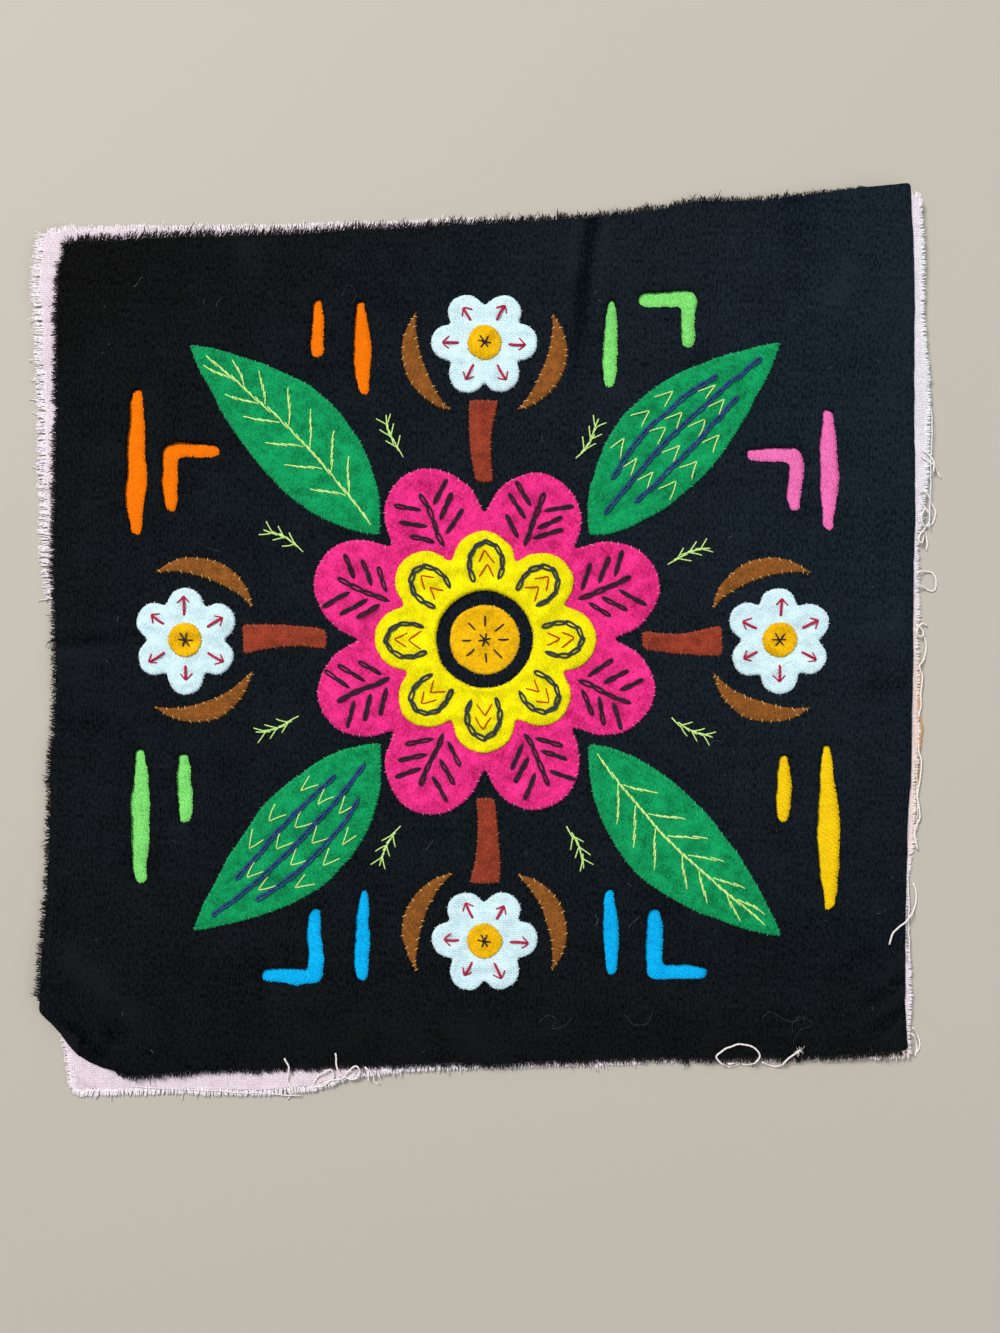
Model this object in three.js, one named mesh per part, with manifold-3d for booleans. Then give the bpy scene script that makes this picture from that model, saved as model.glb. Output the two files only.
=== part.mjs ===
// A mola panel that lies flat on its backing. A black front cloth has slits cut through it, and coloured
// scraps behind the slits show in them. A flower design is sewn on top of the front in two layers.
// Millimetres, with +Z up and +Y towards the panel's top edge.
import * as THREE from "three";
import { mergeVertices } from "three/addons/utils/BufferGeometryUtils.js";
import Module from "manifold-3d";

const wasm = await Module();
wasm.setup();

// Cloth and layers
const clothThickness = 1.0;
const layerGap = 0.3;
const layerStep = clothThickness + layerGap;
const level = {
  backing: 0,
  scraps: layerStep,
  front: 2 * layerStep,
  patches: 3 * layerStep,
  overlays: 4 * layerStep,
};

// The panel is flat inside flatHalf. From there to edgeHalf the front comes down onto the backing, and
// both cloths curl up a little where a lift is given.
const flatHalf = 100;
const edgeHalf = 116;
const frontEdgeGap = 0.4;
const ringShares = [0, 0.35, 0.7, 1];
const edgeLifts = [
  { place: "top left corner", x: -118, y: 110, reach: 26, rise: 1.6 },
  { place: "top right corner", x: 117, y: 122, reach: 30, rise: 2.2 },
  { place: "right edge", x: 119, y: 55, reach: 34, rise: 1.2 },
  { place: "bottom right corner", x: 116, y: -112, reach: 26, rise: 1.4 },
  { place: "bottom edge", x: -30, y: -119, reach: 30, rise: 0.8 },
];

// The bottom left corner of the front is turned under along the side named fold.
const cornerFold = { x: -110, y: -110, reach: 32, rise: 2.0 };
const foldFlap = { overlap: 3, least: 2.5, grows: 9, thickness: 0.9, turnSteps: 4 };

// Each side runs anticlockwise from its own corner to the next side's. At the share along of a side, its
// edge lies out millimetres outside the straight line.
const frontSides = [
  {
    side: "right", x: 115.2, y: -110.7, steps: 14,
    bows: [
      { along: 0.17, out: -0.9 }, { along: 0.41, out: 0.1 },
      { along: 0.57, out: 1.1 }, { along: 0.79, out: 1.2 },
    ],
  },
  {
    side: "top", x: 115.0, y: 123.4, steps: 16,
    bows: [
      { along: 0.17, out: -1.1 }, { along: 0.34, out: -2.5 },
      { along: 0.67, out: -2.3 }, { along: 0.92, out: -1.8 },
    ],
  },
  {
    side: "left", x: -115.4, y: 109.1, steps: 14,
    bows: [
      { along: 0.12, out: -0.3 }, { along: 0.43, out: -0.8 },
      { along: 0.57, out: -2.2 }, { along: 0.78, out: -1.5 },
    ],
  },
  {
    side: "fold", x: -120.6, y: -100.4, steps: 8,
    bows: [{ along: 0.28, out: 0.5 }, { along: 0.52, out: 2.4 }, { along: 0.72, out: 2.6 }],
  },
  {
    side: "bottom", x: -96.8, y: -117.7, steps: 16,
    bows: [
      { along: 0.12, out: -0.4 }, { along: 0.48, out: -0.2 },
      { along: 0.56, out: 0.7 }, { along: 0.75, out: 0.7 },
    ],
  },
];
const backingSides = [
  {
    side: "right", x: 116.8, y: -113.1, steps: 18,
    bows: [
      { along: 0.42, out: 1.2 }, { along: 0.57, out: 1.4 },
      { along: 0.69, out: 4.1 }, { along: 0.79, out: 4.0 },
      { along: 0.88, out: 1.5 },
    ],
  },
  {
    side: "top", x: 117.5, y: 121.0, steps: 16,
    bows: [
      { along: 0.18, out: -1.2 }, { along: 0.34, out: -2.8 },
      { along: 0.48, out: -1.8 }, { along: 0.87, out: -0.8 },
    ],
  },
  { side: "trimmed corner", x: -117.9, y: 111.0, steps: 3, bows: [] },
  {
    side: "left", x: -121.9, y: 101.3, steps: 16,
    bows: [
      { along: 0.08, out: 0.6 }, { along: 0.37, out: 1.0 },
      { along: 0.46, out: -1.3 }, { along: 0.63, out: -3.5 },
      { along: 0.87, out: -1.7 },
    ],
  },
  { side: "lower left", x: -114.1, y: -108.3, steps: 3, bows: [] },
  {
    side: "bottom", x: -109.8, y: -122.6, steps: 18,
    bows: [
      { along: 0.15, out: 2.2 }, { along: 0.26, out: 2.7 },
      { along: 0.31, out: 0.0 }, { along: 0.38, out: -1.8 },
      { along: 0.58, out: -1.5 }, { along: 0.75, out: -1.2 },
    ],
  },
];

// Slits. A bar is centred on x, y and leans by lean degrees. An angle has its corner at x, y, with one arm
// along X and one along Y, each signed.
const slitTaper = 0.82;
const slitArcSteps = 3;
const samePoint = 0.03;
const scrapMargin = 4.4;
const scrapCorner = 3;
const scrapCornerSteps = 2;
const slitGroups = [
  { scrap: "scrap_orange_top", cotton: "orange", slits: [
    { kind: "bar", x: -33, y: 79, length: 27, width: 4.6, lean: 1 },
    { kind: "bar", x: -45, y: 84, length: 17, width: 4.4, lean: -2 }] },
  { scrap: "scrap_orange_left", cotton: "orange", slits: [
    { kind: "angle", x: -85, y: 51, armX: 14, armY: -17, width: 4.6 },
    { kind: "bar", x: -94, y: 48, length: 41, width: 4.8, lean: -1 }] },
  { scrap: "scrap_green_top", cotton: "lightGreen", slits: [
    { kind: "bar", x: 34, y: 80, length: 25, width: 4.4, lean: -1 },
    { kind: "angle", x: 55, y: 92, armX: -14, armY: -14, width: 4.6 }] },
  { scrap: "scrap_pink_right", cotton: "lightPink", slits: [
    { kind: "angle", x: 84, y: 50, armX: -14, armY: -16, width: 4.5 },
    { kind: "bar", x: 93, y: 46, length: 34, width: 4.7, lean: 1 }] },
  { scrap: "scrap_green_left", cotton: "lightGreen", slits: [
    { kind: "bar", x: -81, y: -40, length: 20, width: 4.4, lean: 2 },
    { kind: "bar", x: -93, y: -48, length: 38, width: 4.7, lean: 0 }] },
  { scrap: "scrap_blue_left", cotton: "blue", slits: [
    { kind: "bar", x: -33, y: -80, length: 26, width: 4.6, lean: -1 },
    { kind: "angle", x: -46, y: -91, armX: -15, armY: 19, width: 4.8 }] },
  { scrap: "scrap_blue_right", cotton: "blue", slits: [
    { kind: "bar", x: 34, y: -79, length: 24, width: 4.5, lean: 1 },
    { kind: "angle", x: 46, y: -90, armX: 15, armY: 18, width: 4.7 }] },
  { scrap: "scrap_gold_right", cotton: "gold", slits: [
    { kind: "bar", x: 81, y: -40, length: 19, width: 4.6, lean: -1 },
    { kind: "bar", x: 93, y: -51, length: 46, width: 4.8, lean: 1 }] },
];

// Flower design. Angles are degrees anticlockwise from +X, and reach is a distance from the panel's middle.
const heartHole = { radius: 13, steps: 22 };
const rosettePink = {
  radius: 49, lobes: 8, notch: 0.3, roundness: 0.7, stepsPerLobe: 9, turn: 0, uneven: 0.025,
};
const rosetteYellow = {
  radius: 30, lobes: 8, notch: 0.24, roundness: 0.75, stepsPerLobe: 7, turn: 22.5, uneven: 0.02,
};
const unevenWaves = 3;
const rosetteHeart = { radius: 9.5, steps: 18 };
const leafCurve = { steps: 11, fullness: 0.9, baseward: 0.85 };
const leaves = [
  { node: "leaf_top_right", angle: 45, start: 39.5, length: 74, width: 27, bend: 3 },
  { node: "leaf_top_left", angle: 135, start: 39.8, length: 73, width: 26, bend: -3 },
  { node: "leaf_bottom_left", angle: 225, start: 39.3, length: 72, width: 27, bend: 3 },
  { node: "leaf_bottom_right", angle: 315, start: 39.6, length: 74, width: 25, bend: -3 },
];
const blossom = { radius: 14.5, lobes: 6, notch: 0.3, roundness: 0.7, stepsPerLobe: 6, uneven: 0.03 };
const blossomHeart = { radius: 4.8, steps: 14 };
const stem = { start: 42.5, width: 5.2, flare: 3.2, endGap: 0.8, steps: 5 };
const crescent = { radius: 20, halfWidth: 2.8, from: 24, to: 116, steps: 10 };
const arms = [
  { name: "top", angle: 90, reach: 80, bend: 1.2 },
  { name: "left", angle: 180, reach: 80.5, bend: -1.0 },
  { name: "bottom", angle: 270, reach: 81, bend: 1.1 },
  { name: "right", angle: 0, reach: 79.5, bend: -1.2 },
];

const cottons = {
  black: 0x15181c,
  palePink: 0xe6d4dc,
  hotPink: 0xdf2c7c,
  yellow: 0xf4dc12,
  gold: 0xf0b208,
  green: 0x118a55,
  redBrown: 0x923b27,
  goldBrown: 0x7f4c20,
  white: 0xdcebf0,
  orange: 0xfa7408,
  lightGreen: 0x79d86c,
  blue: 0x08a9f0,
  lightPink: 0xf46cb0,
};
const clothRoughness = 0.9;

const design = new THREE.Group();

function addPiece(name, geometry, cotton, height = 0) {
  const material = new THREE.MeshStandardMaterial({
    color: cottons[cotton],
    roughness: clothRoughness,
    metalness: 0,
  });
  const piece = new THREE.Mesh(geometry, material);
  piece.name = name;
  piece.position.z = height;
  design.add(piece);
}

function bump({ x, y, reach, rise }, atX, atY) {
  const distance = Math.hypot(atX - x, atY - y) / reach;
  return rise * Math.exp(-distance * distance);
}

// Zero over the flat middle and one along the panel's edges.
function edgeShare(x, y) {
  return THREE.MathUtils.smoothstep(Math.max(Math.abs(x), Math.abs(y)), flatHalf, edgeHalf);
}

function backingMiddle(x, y) {
  const lift = edgeLifts.reduce((sum, row) => sum + bump(row, x, y), 0);
  return clothThickness / 2 + lift * edgeShare(x, y);
}

function frontMiddle(x, y) {
  const share = edgeShare(x, y);
  const aboveBacking = THREE.MathUtils.lerp(level.front, clothThickness + frontEdgeGap, share);
  return backingMiddle(x, y) + aboveBacking + bump(cornerFold, x, y) * share;
}

// The points of one side, without its end corner, as a smooth curve through its bowed places.
function sidePoints({ x, y, bows, steps }, next) {
  const start = new THREE.Vector2(x, y);
  const end = new THREE.Vector2(next.x, next.y);
  const run = end.clone().sub(start);
  const outward = new THREE.Vector2(run.y, -run.x).normalize();
  const bowed = bows.map(({ along, out }) =>
    start.clone().addScaledVector(run, along).addScaledVector(outward, out));
  return new THREE.SplineCurve([start, ...bowed, end]).getSpacedPoints(steps).slice(0, -1);
}

function outlineOf(sides) {
  return sides.flatMap((side, i) => sidePoints(side, sides[(i + 1) % sides.length]));
}

// Closes a height field into cloth: the same triangles above and below, and a wall along every open edge.
function clothSolid(points, triangles, middleHeight) {
  const half = clothThickness / 2;
  const heights = points.map((p) => middleHeight(p.x, p.y));
  const upper = points.flatMap((p, i) => [p.x, p.y, heights[i] + half]);
  const lower = points.flatMap((p, i) => [p.x, p.y, heights[i] - half]);
  const count = points.length;
  const sharedEdges = new Set();
  for (const [a, b, c] of triangles) {
    sharedEdges.add(a + " " + b).add(b + " " + c).add(c + " " + a);
  }
  const index = [];
  for (const [a, b, c] of triangles) {
    index.push(a, b, c, c + count, b + count, a + count);
    for (const [u, v] of [[a, b], [b, c], [c, a]]) {
      if (!sharedEdges.has(v + " " + u)) {
        index.push(u, u + count, v + count, u, v + count, v);
      }
    }
  }
  const geometry = new THREE.BufferGeometry();
  geometry.setAttribute("position", new THREE.Float32BufferAttribute([...upper, ...lower], 3));
  geometry.setIndex(index);
  return geometry;
}

// A flat square middle, with any holes, and rings of facets from there out to the cloth's edge.
function edgedCloth(outline, holes, middleHeight) {
  const count = outline.length;
  const toSquare = (p) => flatHalf / Math.max(Math.abs(p.x), Math.abs(p.y));
  const square = outline.map((p) => p.clone().multiplyScalar(toSquare(p)));
  const rings = ringShares.map((share) => outline.map((p, i) => square[i].clone().lerp(p, share)));
  const holePoints = holes.flat();
  const points = [...rings[0], ...holePoints, ...rings.slice(1).flat()];
  const triangles = THREE.ShapeUtils.triangulateShape(rings[0], holes);
  const ringStart = (ring) => (ring === 0 ? 0 : ring * count + holePoints.length);
  for (let ring = 0; ring < rings.length - 1; ring++) {
    for (let i = 0; i < count; i++) {
      const next = (i + 1) % count;
      const inner = ringStart(ring);
      const outer = ringStart(ring + 1);
      triangles.push([inner + i, outer + i, outer + next], [inner + i, outer + next, inner + next]);
    }
  }
  return clothSolid(points, triangles, middleHeight);
}

// A closed band through rings of equal count, with its two ends capped.
function loft(sections) {
  const count = sections[0].length;
  const index = [];
  for (let s = 0; s < sections.length - 1; s++) {
    for (let i = 0; i < count; i++) {
      const next = (i + 1) % count;
      const here = s * count;
      const there = here + count;
      index.push(here + i, here + next, there + next, here + i, there + next, there + i);
    }
  }
  const last = (sections.length - 1) * count;
  for (let i = 0; i < count / 2 - 1; i++) {
    const far = count - 1 - i;
    index.push(i, far, far - 1, i, far - 1, i + 1);
    index.push(last + i, last + far - 1, last + far, last + i, last + i + 1, last + far - 1);
  }
  const geometry = new THREE.BufferGeometry();
  const positions = sections.flat().flatMap((p) => [p.x, p.y, p.z]);
  geometry.setAttribute("position", new THREE.Float32BufferAttribute(positions, 3));
  geometry.setIndex(index);
  return geometry;
}

// The corner's turned-under strip: in from the fold at the front's height, round the fold, and back below.
function foldSection(point, outward, along) {
  const { overlap, least, grows, thickness, turnSteps } = foldFlap;
  const top = frontMiddle(point.x, point.y);
  const bottom = backingMiddle(point.x, point.y) + clothThickness / 2 + layerGap + thickness / 2;
  const radius = (top - bottom) / 2;
  const flap = least + grows * Math.sin(Math.PI * along);
  const turn = Array.from({ length: turnSteps + 1 }, (_, i) => Math.PI / 2 - (Math.PI * i) / turnSteps);
  const skin = (half) => [
    { out: -overlap, z: top + half },
    ...turn.map((a) => ({
      out: (radius + half) * Math.cos(a) - radius,
      z: (top + bottom) / 2 + (radius + half) * Math.sin(a),
    })),
    { out: -flap, z: bottom - half },
  ];
  const place = ({ out, z }) => new THREE.Vector3(point.x + outward.x * out, point.y + outward.y * out, z);
  return [...skin(thickness / 2), ...skin(-thickness / 2).reverse()].map(place);
}

function foldStrip() {
  const start = frontSides.findIndex((row) => row.side === "fold");
  const from = frontSides[start];
  const to = frontSides[start + 1];
  const outward = new THREE.Vector2(to.y - from.y, from.x - to.x).normalize();
  const points = sidePoints(from, to).slice(1);
  return loft(points.map((point, i) => foldSection(point, outward, (i + 1) / from.steps)));
}

function solidOf(geometry) {
  const merged = mergeVertices(geometry);
  return new wasm.Manifold(
    new wasm.Mesh({
      numProp: 3,
      vertProperties: merged.getAttribute("position").array,
      triVerts: new Uint32Array(merged.index.array),
    }),
  );
}

function joined(first, second) {
  const mesh = solidOf(first).add(solidOf(second)).getMesh();
  const geometry = new THREE.BufferGeometry();
  geometry.setAttribute("position", new THREE.BufferAttribute(mesh.vertProperties, 3));
  geometry.setIndex(new THREE.BufferAttribute(mesh.triVerts, 1));
  return geometry;
}

function openPoints(path, divisions) {
  const points = path.getPoints(divisions);
  return points[0].distanceTo(points.at(-1)) < samePoint ? points.slice(0, -1) : points;
}

function barOutline({ x, y, length, width, lean }) {
  const wide = width / 2;
  const narrow = wide * slitTaper;
  const half = length / 2;
  const path = new THREE.Path();
  path.absarc(0, half - narrow, narrow, 0, Math.PI);
  path.absarc(0, wide - half, wide, Math.PI, 2 * Math.PI);
  const middle = new THREE.Vector2();
  const turn = THREE.MathUtils.degToRad(lean);
  const place = new THREE.Vector2(x, y);
  return openPoints(path, slitArcSteps).map((p) => p.rotateAround(middle, turn).add(place));
}

function angleOutline({ x, y, armX, armY, width }) {
  const half = width / 2;
  const across = Math.abs(armX) - half;
  const down = Math.abs(armY) - half;
  const path = new THREE.Path();
  path.absarc(across, 0, half * slitTaper, -Math.PI / 2, Math.PI / 2);
  path.absarc(0, 0, half, Math.PI / 2, Math.PI);
  path.absarc(0, -down, half * slitTaper, Math.PI, 2 * Math.PI);
  path.lineTo(half, -half);
  const flip = new THREE.Vector2(Math.sign(armX), -Math.sign(armY));
  const place = new THREE.Vector2(x, y);
  return openPoints(path, slitArcSteps).map((p) => p.multiply(flip).add(place));
}

function slitOutline(slit) {
  const points = slit.kind === "bar" ? barOutline(slit) : angleOutline(slit);
  return THREE.ShapeUtils.isClockWise(points) ? points : points.reverse();
}

// A scrap covers its group of slits with a margin on every side.
function scrapShape(slits) {
  const box = new THREE.Box2().setFromPoints(slits.flatMap(slitOutline)).expandByScalar(scrapMargin);
  const inner = box.clone().expandByScalar(-scrapCorner);
  const shape = new THREE.Shape();
  shape.absarc(inner.max.x, inner.max.y, scrapCorner, 0, Math.PI / 2);
  shape.absarc(inner.min.x, inner.max.y, scrapCorner, Math.PI / 2, Math.PI);
  shape.absarc(inner.min.x, inner.min.y, scrapCorner, Math.PI, 1.5 * Math.PI);
  shape.absarc(inner.max.x, inner.min.y, scrapCorner, 1.5 * Math.PI, 2 * Math.PI);
  return new THREE.Shape(openPoints(shape, scrapCornerSteps));
}

function polar(radius, degrees) {
  const angle = THREE.MathUtils.degToRad(degrees);
  return new THREE.Vector2(radius * Math.cos(angle), radius * Math.sin(angle));
}

function circleOutline({ radius, steps }) {
  return Array.from({ length: steps }, (_, i) => polar(radius, (360 * i) / steps));
}

// Round lobes with a notch between each two. The first notch lies at the angle turn.
function lobedOutline({ radius, lobes, notch, roundness, stepsPerLobe, turn, uneven }) {
  const steps = lobes * stepsPerLobe;
  return Array.from({ length: steps }, (_, i) => {
    const lobe = Math.abs(Math.sin((Math.PI * i) / stepsPerLobe)) ** roundness;
    const degrees = (360 * i) / steps + turn;
    const handCut = 1 + uneven * Math.sin(THREE.MathUtils.degToRad(unevenWaves * degrees + radius));
    return polar(radius * (1 - notch * (1 - lobe)) * handCut, degrees);
  });
}

function leafOutline({ angle, start, length, width, bend }) {
  const edge = (share, side) => {
    const half = (width / 2) * Math.sin(Math.PI * share ** leafCurve.baseward) ** leafCurve.fullness;
    const sideways = side * half + bend * Math.sin(Math.PI * share);
    return new THREE.Vector2(start + length * share, sideways);
  };
  const shares = Array.from({ length: leafCurve.steps - 1 }, (_, i) => (i + 1) / leafCurve.steps);
  const right = shares.map((share) => edge(share, -1));
  const left = shares.map((share) => edge(share, 1)).reverse();
  return turned([edge(0, 0), ...right, edge(1, 0), ...left], angle);
}

function stemOutline({ angle, reach, bend }) {
  const end = reach - blossom.radius - stem.endGap;
  const side = (share, sign) => {
    const half = (stem.width + stem.flare * share * share) / 2;
    return new THREE.Vector2(
      THREE.MathUtils.lerp(stem.start, end, share),
      sign * half + bend * Math.sin(Math.PI * share),
    );
  };
  const shares = Array.from({ length: stem.steps + 1 }, (_, i) => i / stem.steps);
  const right = shares.map((share) => side(share, -1));
  const left = shares.map((share) => side(share, 1)).reverse();
  return turned([...right, ...left], angle);
}

// Pointed at both ends and bowed round the blossom, on one side of its stem.
function crescentOutline({ angle, reach }, side) {
  const edge = (share, sign) => {
    const radius = crescent.radius + sign * crescent.halfWidth * Math.sin(Math.PI * share);
    return polar(radius, 180 - side * THREE.MathUtils.lerp(crescent.from, crescent.to, share));
  };
  const shares = Array.from({ length: crescent.steps + 1 }, (_, i) => i / crescent.steps);
  const outer = shares.map((share) => edge(share, 1));
  const inner = shares.slice(1, -1).map((share) => edge(share, -1)).reverse();
  const middle = new THREE.Vector2(reach, 0);
  return turned([...outer, ...inner].map((p) => p.add(middle)), angle);
}

function turned(points, degrees) {
  const turn = THREE.MathUtils.degToRad(degrees);
  const middle = new THREE.Vector2();
  return points.map((p) => p.rotateAround(middle, turn));
}

function moved(points, place) {
  return points.map((p) => p.add(place));
}

function flatCloth(shape) {
  return new THREE.ExtrudeGeometry(shape, { depth: clothThickness, bevelEnabled: false });
}

function shapeWithHole(outline, hole) {
  const shape = new THREE.Shape(outline);
  shape.holes.push(new THREE.Path(hole));
  return shape;
}

// The two large cloths and the scraps between them
const slitHoles = slitGroups.flatMap((group) => group.slits.map(slitOutline));
const frontCloth = edgedCloth(outlineOf(frontSides), slitHoles, frontMiddle);
addPiece("backing", edgedCloth(outlineOf(backingSides), [], backingMiddle), "palePink");
addPiece("front", joined(frontCloth, foldStrip()), "black");
for (const { scrap, cotton, slits } of slitGroups) {
  addPiece(scrap, flatCloth(scrapShape(slits)), cotton, level.scraps);
}

// The large flower
const pinkShape = shapeWithHole(lobedOutline(rosettePink), circleOutline(heartHole));
const yellowShape = shapeWithHole(lobedOutline(rosetteYellow), circleOutline(heartHole));
addPiece("rosette_pink", flatCloth(pinkShape), "hotPink", level.patches);
addPiece("rosette_yellow", flatCloth(yellowShape), "yellow", level.overlays);
addPiece("rosette_heart", flatCloth(new THREE.Shape(circleOutline(rosetteHeart))), "gold", level.patches);
for (const leaf of leaves) {
  addPiece(leaf.node, flatCloth(new THREE.Shape(leafOutline(leaf))), "green", level.patches);
}

// A stem, a blossom with its heart, and two crescents on each arm
for (const arm of arms) {
  const middle = polar(arm.reach, arm.angle);
  const petals = moved(lobedOutline({ ...blossom, turn: arm.angle }), middle);
  const heart = moved(circleOutline(blossomHeart), middle);
  addPiece("stem_" + arm.name, flatCloth(new THREE.Shape(stemOutline(arm))), "redBrown", level.patches);
  addPiece("blossom_" + arm.name, flatCloth(new THREE.Shape(petals)), "white", level.patches);
  addPiece("blossom_heart_" + arm.name, flatCloth(new THREE.Shape(heart)), "gold", level.overlays);
  for (const [hand, side] of [["a", 1], ["b", -1]]) {
    const shape = new THREE.Shape(crescentOutline(arm, side));
    addPiece("crescent_" + arm.name + "_" + hand, flatCloth(shape), "goldBrown", level.patches);
  }
}

// The origin is under the middle of the panel's box.
const middle = new THREE.Box3().setFromObject(design).getCenter(new THREE.Vector3());
design.position.set(-middle.x, -middle.y, 0);
const panel = new THREE.Group();
panel.add(design);

export default panel;
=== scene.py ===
import math
import bmesh
import bpy
import numpy as np
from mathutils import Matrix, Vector, noise
from mathutils.bvhtree import BVHTree
from mathutils.kdtree import KDTree


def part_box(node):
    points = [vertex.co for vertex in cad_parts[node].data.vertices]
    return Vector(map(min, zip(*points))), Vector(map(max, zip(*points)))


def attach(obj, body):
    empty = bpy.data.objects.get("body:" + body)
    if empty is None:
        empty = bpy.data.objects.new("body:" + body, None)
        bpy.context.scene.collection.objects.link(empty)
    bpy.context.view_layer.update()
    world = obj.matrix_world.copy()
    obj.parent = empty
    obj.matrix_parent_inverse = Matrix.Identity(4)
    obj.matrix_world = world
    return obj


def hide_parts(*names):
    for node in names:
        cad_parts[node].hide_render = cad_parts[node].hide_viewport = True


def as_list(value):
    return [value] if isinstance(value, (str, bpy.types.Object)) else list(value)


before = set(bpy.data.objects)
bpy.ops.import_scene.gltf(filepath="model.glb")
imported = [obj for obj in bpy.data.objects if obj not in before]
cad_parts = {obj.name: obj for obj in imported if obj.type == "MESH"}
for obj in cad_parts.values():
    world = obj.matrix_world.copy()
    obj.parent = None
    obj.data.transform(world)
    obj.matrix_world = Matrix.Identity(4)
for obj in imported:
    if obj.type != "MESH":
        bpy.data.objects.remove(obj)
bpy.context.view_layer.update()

mm = 0.001              # pieces are modelled in millimetres and scaled to metres when they are finished
dice = np.random.default_rng(26)
noise.seed_set(26)      # the noise that takes vectors is seeded by the clock otherwise


def nodeMiddle(node):
    low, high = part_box(node)
    return np.array(((low + high) / 2 / mm).xy)


centre = nodeMiddle("rosette_heart")        # the flower's middle; listed spots are mm from it


# shading

class Wire:
    # a node output that Python sums can work on
    def __init__(self, tree, socket=None):
        self.tree = tree
        self.socket = socket

    def node(self, kind, settings, sockets, output=0):
        made = self.tree.nodes.new("ShaderNode" + kind)
        for name, value in settings.items():
            setattr(made, name, value)
        for name, value in sockets.items():
            if isinstance(value, Wire):
                self.tree.links.new(value.socket, made.inputs[name])
            else:
                made.inputs[name].default_value = value
        return Wire(self.tree, made.outputs[output])

    def maths(self, operation, *values):
        return self.node("Math", {"operation": operation}, dict(enumerate(values)))

    def vector(self, operation, *values):
        return self.node("VectorMath", {"operation": operation}, dict(enumerate(values)))

    def axis(self, name):
        return self.node("SeparateXYZ", {}, {0: self}, name)

    def into(self, shader, name):
        self.tree.links.new(self.socket, shader.inputs[name])

    def __add__(self, other):
        return self.maths("ADD", self, other)

    def __sub__(self, other):
        return self.maths("SUBTRACT", self, other)

    def __rsub__(self, other):
        return self.maths("SUBTRACT", other, self)

    def __mul__(self, other):
        return self.maths("MULTIPLY", self, other)

    __radd__ = __add__
    __rmul__ = __mul__


def newFinish(name, settings):
    finish = bpy.data.materials.new(name)
    finish.use_nodes = True
    shader = finish.node_tree.nodes["Principled BSDF"]
    for socket, value in settings.items():
        shader.inputs[socket].default_value = value
    return finish, shader, Wire(finish.node_tree)


def mixColours(wire, share, low, high):
    low, high = (tone if isinstance(tone, Wire) else (*tone, 1) for tone in (low, high))
    return wire.node("Mix", {"data_type": "RGBA"}, {0: share, 6: low, 7: high}, 2)


def clamped(wire, value):
    return wire.maths("MAXIMUM", wire.maths("MINIMUM", value, 1.0), 0.0)


def speckle(wire, where, scale, detail=4.0, output=0):
    return wire.node("TexNoise", {"noise_dimensions": "2D"},
                     {"Vector": where, "Scale": scale, "Detail": detail}, output)


def tintedRound(wire, colour, tints):
    # a colour tinted round some places
    where = wire.node("TexCoord", {}, {}, "Object")
    x, y = (where.axis(name) * (1 / mm) for name in "XY")
    for at, reach, tint in tints:
        aside = (x - (at[0] + centre[0])) * (1 / reach[0])
        up = (y - (at[1] + centre[1])) * (1 / reach[1])
        share = clamped(wire, 1.3 - (aside * aside + up * up))
        colour = wire.node("Mix", {"data_type": "RGBA", "blend_type": "MULTIPLY"},
                           {0: share, 6: colour, 7: (*tint, 1)}, 2)
    return colour


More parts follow.
